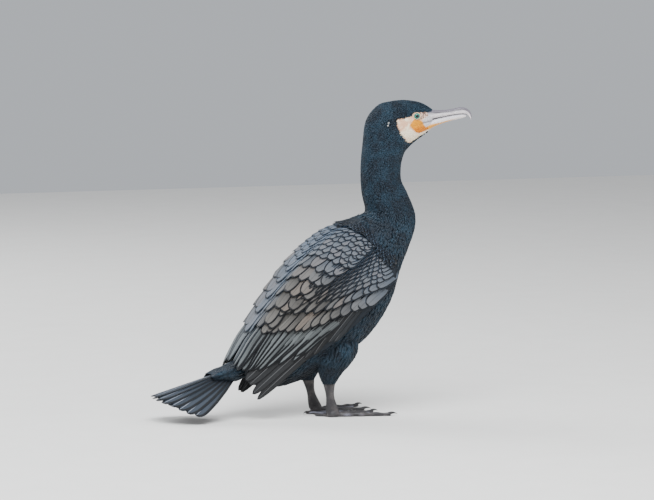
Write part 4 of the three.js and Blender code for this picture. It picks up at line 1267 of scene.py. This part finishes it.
def eyelids(side, beads=17, rows=72, columns=16):
    """A beaded ring of skin round the eye."""
    around = once_round(rows, 0)[:, None]
    tube = once_round(columns, 0)[None, :]
    thick = EYE["lid"] * (1 + 0.12 * np.sin(around * beads))
    far = EYE["open"] + 0.55 + thick * np.cos(tube) * 1.25
    lids = np.stack([far * np.cos(around), 3.0 + thick * np.sin(tube), far * np.sin(around) * 0.93], -1)
    points = on_head(lids.reshape(-1, 3), side)
    made = Gathered()
    made.add(points, outward(points, grid_faces(rows + 1, columns, closed=True) % (rows * columns)))
    return made


IRIS, LID = iris(), lid()
for side, word in SIDES:
    make_piece("eye_ball_" + word, eye_ball(side), IRIS, ["eye_" + word])
    make_piece("eyelids_" + word, eyelids(side), LID)


def leg_parts(leg):
    """The soft forms of one leg, its claws, and each toe's length and direction."""
    side, foot, ankle = leg["side"], leg["foot"], leg["ankle"]
    deep, wide = SHANK["deep"], SHANK["wide"]
    middle = np.array([foot[0], side * STANCE, 0])
    turns = once_round(28, 0)[None, :]
    u = np.linspace(0, 1, 40)[:, None]
    c, s = np.cos(turns), np.sin(turns)
    swell = 1 + 0.22 * np.cos(2 * math.pi * u)
    bulge = np.sin(math.pi * u)
    top = ankle[1] + 8
    shank = stacked(ankle[0] + (foot[0] - ankle[0]) * u - 1.5 * bulge + deep * swell * c,
                    side * (STANCE - SHANK["inset"] * (1 - u)) + wide * swell * s,
                    top + (foot[1] - 2 - top) * u)
    ball = stacked(foot[0] + 1 + deep * 1.15 * bulge * c, side * STANCE + wide * 1.9 * bulge * s,
                   np.maximum(3.4 + 8.5 * np.cos(math.pi * u), 0.4))
    soft, rays, claws = [capped_rings(shank), capped_rings(ball)], [], []
    for toe, degrees in zip(TOES, leg["toes"]):
        angle = -side * math.radians(degrees)
        rays.append((toe.length, angle))
        way = np.array([math.cos(angle), math.sin(angle), 0])
        across = np.array([-math.sin(angle), math.cos(angle), 0])
        r = toe.radius * (1 - 0.38 * u) * (1 + 0.09 * np.cos(2 * math.pi * toe.joints * u))
        points = middle + way * (toe.length * u)[..., None] + across * (r * c)[..., None]
        points[..., 2] = np.maximum(r * 0.72 + r * s, 0.25)
        soft.append(capped_rings(points))
        r = toe.radius * (0.62 - 0.56 * u)
        reach = toe.length - 4 + (CLAW + 4) * u
        points = middle + way * reach[..., None] + across * (r * 0.8 * c)[..., None]
        hook = toe.radius * (0.62 + 0.6 * np.sin(math.pi * u * 0.8) - 0.35 * u)
        points[..., 2] = np.maximum(hook + r * s, 0.1)
        claws.append(capped_rings(points))
    rows, columns = 36, 40
    row, v = lattice(rows, columns, 0)
    arch = np.sin(math.pi * v)
    for (length, angle), (next_length, next_angle) in zip(rays[:-1], rays[1:]):
        angle = angle + (next_angle - angle) * v
        reach = (length + (next_length - length) * v) * (0.95 - 0.2 * arch)
        way = 3 + (reach - 3) * row
        pleat = 0.35 * np.sin(v * 6 * math.pi) * row * arch
        height = 2.1 + 1.2 * (1 - row) - 0.5 * arch + pleat
        x, y = foot[0] + way * np.cos(angle), side * STANCE + way * np.sin(angle)
        points = np.concatenate([stacked(x, y, np.maximum(height + face, FLOOR_GAP)).reshape(-1, 3)
                                 for face in (WEB / 2, -WEB / 2)])
        soft.append((points, outward(points, plate_faces(rows, columns))))
    return soft, claws, rays


def make_leg(leg, finish):
    soft, claws, rays = leg_parts(leg)
    word = leg["name"]
    piece, points = whole_skin("leg_skin_" + word, soft, LEG_GRAIN, 3)
    piece.select_set(False)
    flat = points[:, :2] - [leg["foot"][0], leg["side"] * STANCE]
    on_toe = np.zeros(len(points))
    for (length, angle), toe in zip(rays, TOES):
        way = np.array([math.cos(angle), math.sin(angle)])
        near = np.clip(flat @ way, 0, length)
        away = np.linalg.norm(flat - near[:, None] * way, axis=1)
        on_toe = np.maximum(on_toe, 1 - smoothstep(away, toe.radius * 0.75, toe.radius * 1.15))
    web = (1 - on_toe) * (points[:, 2] < 8) * smoothstep(np.linalg.norm(flat, axis=1), 12, 22)
    set_marks(piece.data, {"web": web, "claw": 0 * web})
    dress(piece, finish, ["shank_" + word, "foot_" + word])
    made = Gathered()
    for form in claws:
        made.add(*form, web=0.0, claw=1.0)
    make_piece("claws_" + word, made, finish)


LEG_SKIN = leg_skin()
for leg in LEGS:
    make_leg(leg, LEG_SKIN)


def floor():
    bpy.ops.mesh.primitive_plane_add(size=9, location=(0, 0, 0))
    ground = bpy.context.object
    ground.name = "floor"
    f = Finish("pale_floor")
    grain = f.noise(f.place(), 14, 3)
    ground.data.materials.append(f.surface(
        Base_Color=f.blend(grain, colour(0.74, 0.72, 0.69), colour(0.8, 0.78, 0.75)), Roughness=0.75))
    ground.select_set(False)


floor()


def lamp(name, size, power, place, tint):
    """A soft square light that looks at the bird's middle."""
    data = bpy.data.lights.new(name, "AREA")
    data.size = size
    data.energy = power
    data.color = tint
    light = linked(name, data)
    light.location = place
    light.rotation_euler = (centre - Vector(place)).to_track_quat("-Z", "Y").to_euler()


lamp("sky", 2.6, 270, (-0.8, -1.9, 2.9), (0.93, 0.97, 1.0))
lamp("fill", 2.6, 45, (2.8, -2.2, 1.2), (1.0, 0.97, 0.93))
lamp("back", 2.2, 110, (-1.6, 2.6, 2.1), (0.95, 0.98, 1.0))
world = bpy.data.worlds.new("studio")
world.use_nodes = True
sky = world.node_tree.nodes["Background"].inputs
sky["Color"].default_value = (0.86, 0.9, 0.96, 1)
sky["Strength"].default_value = 0.6
bpy.context.scene.world = world
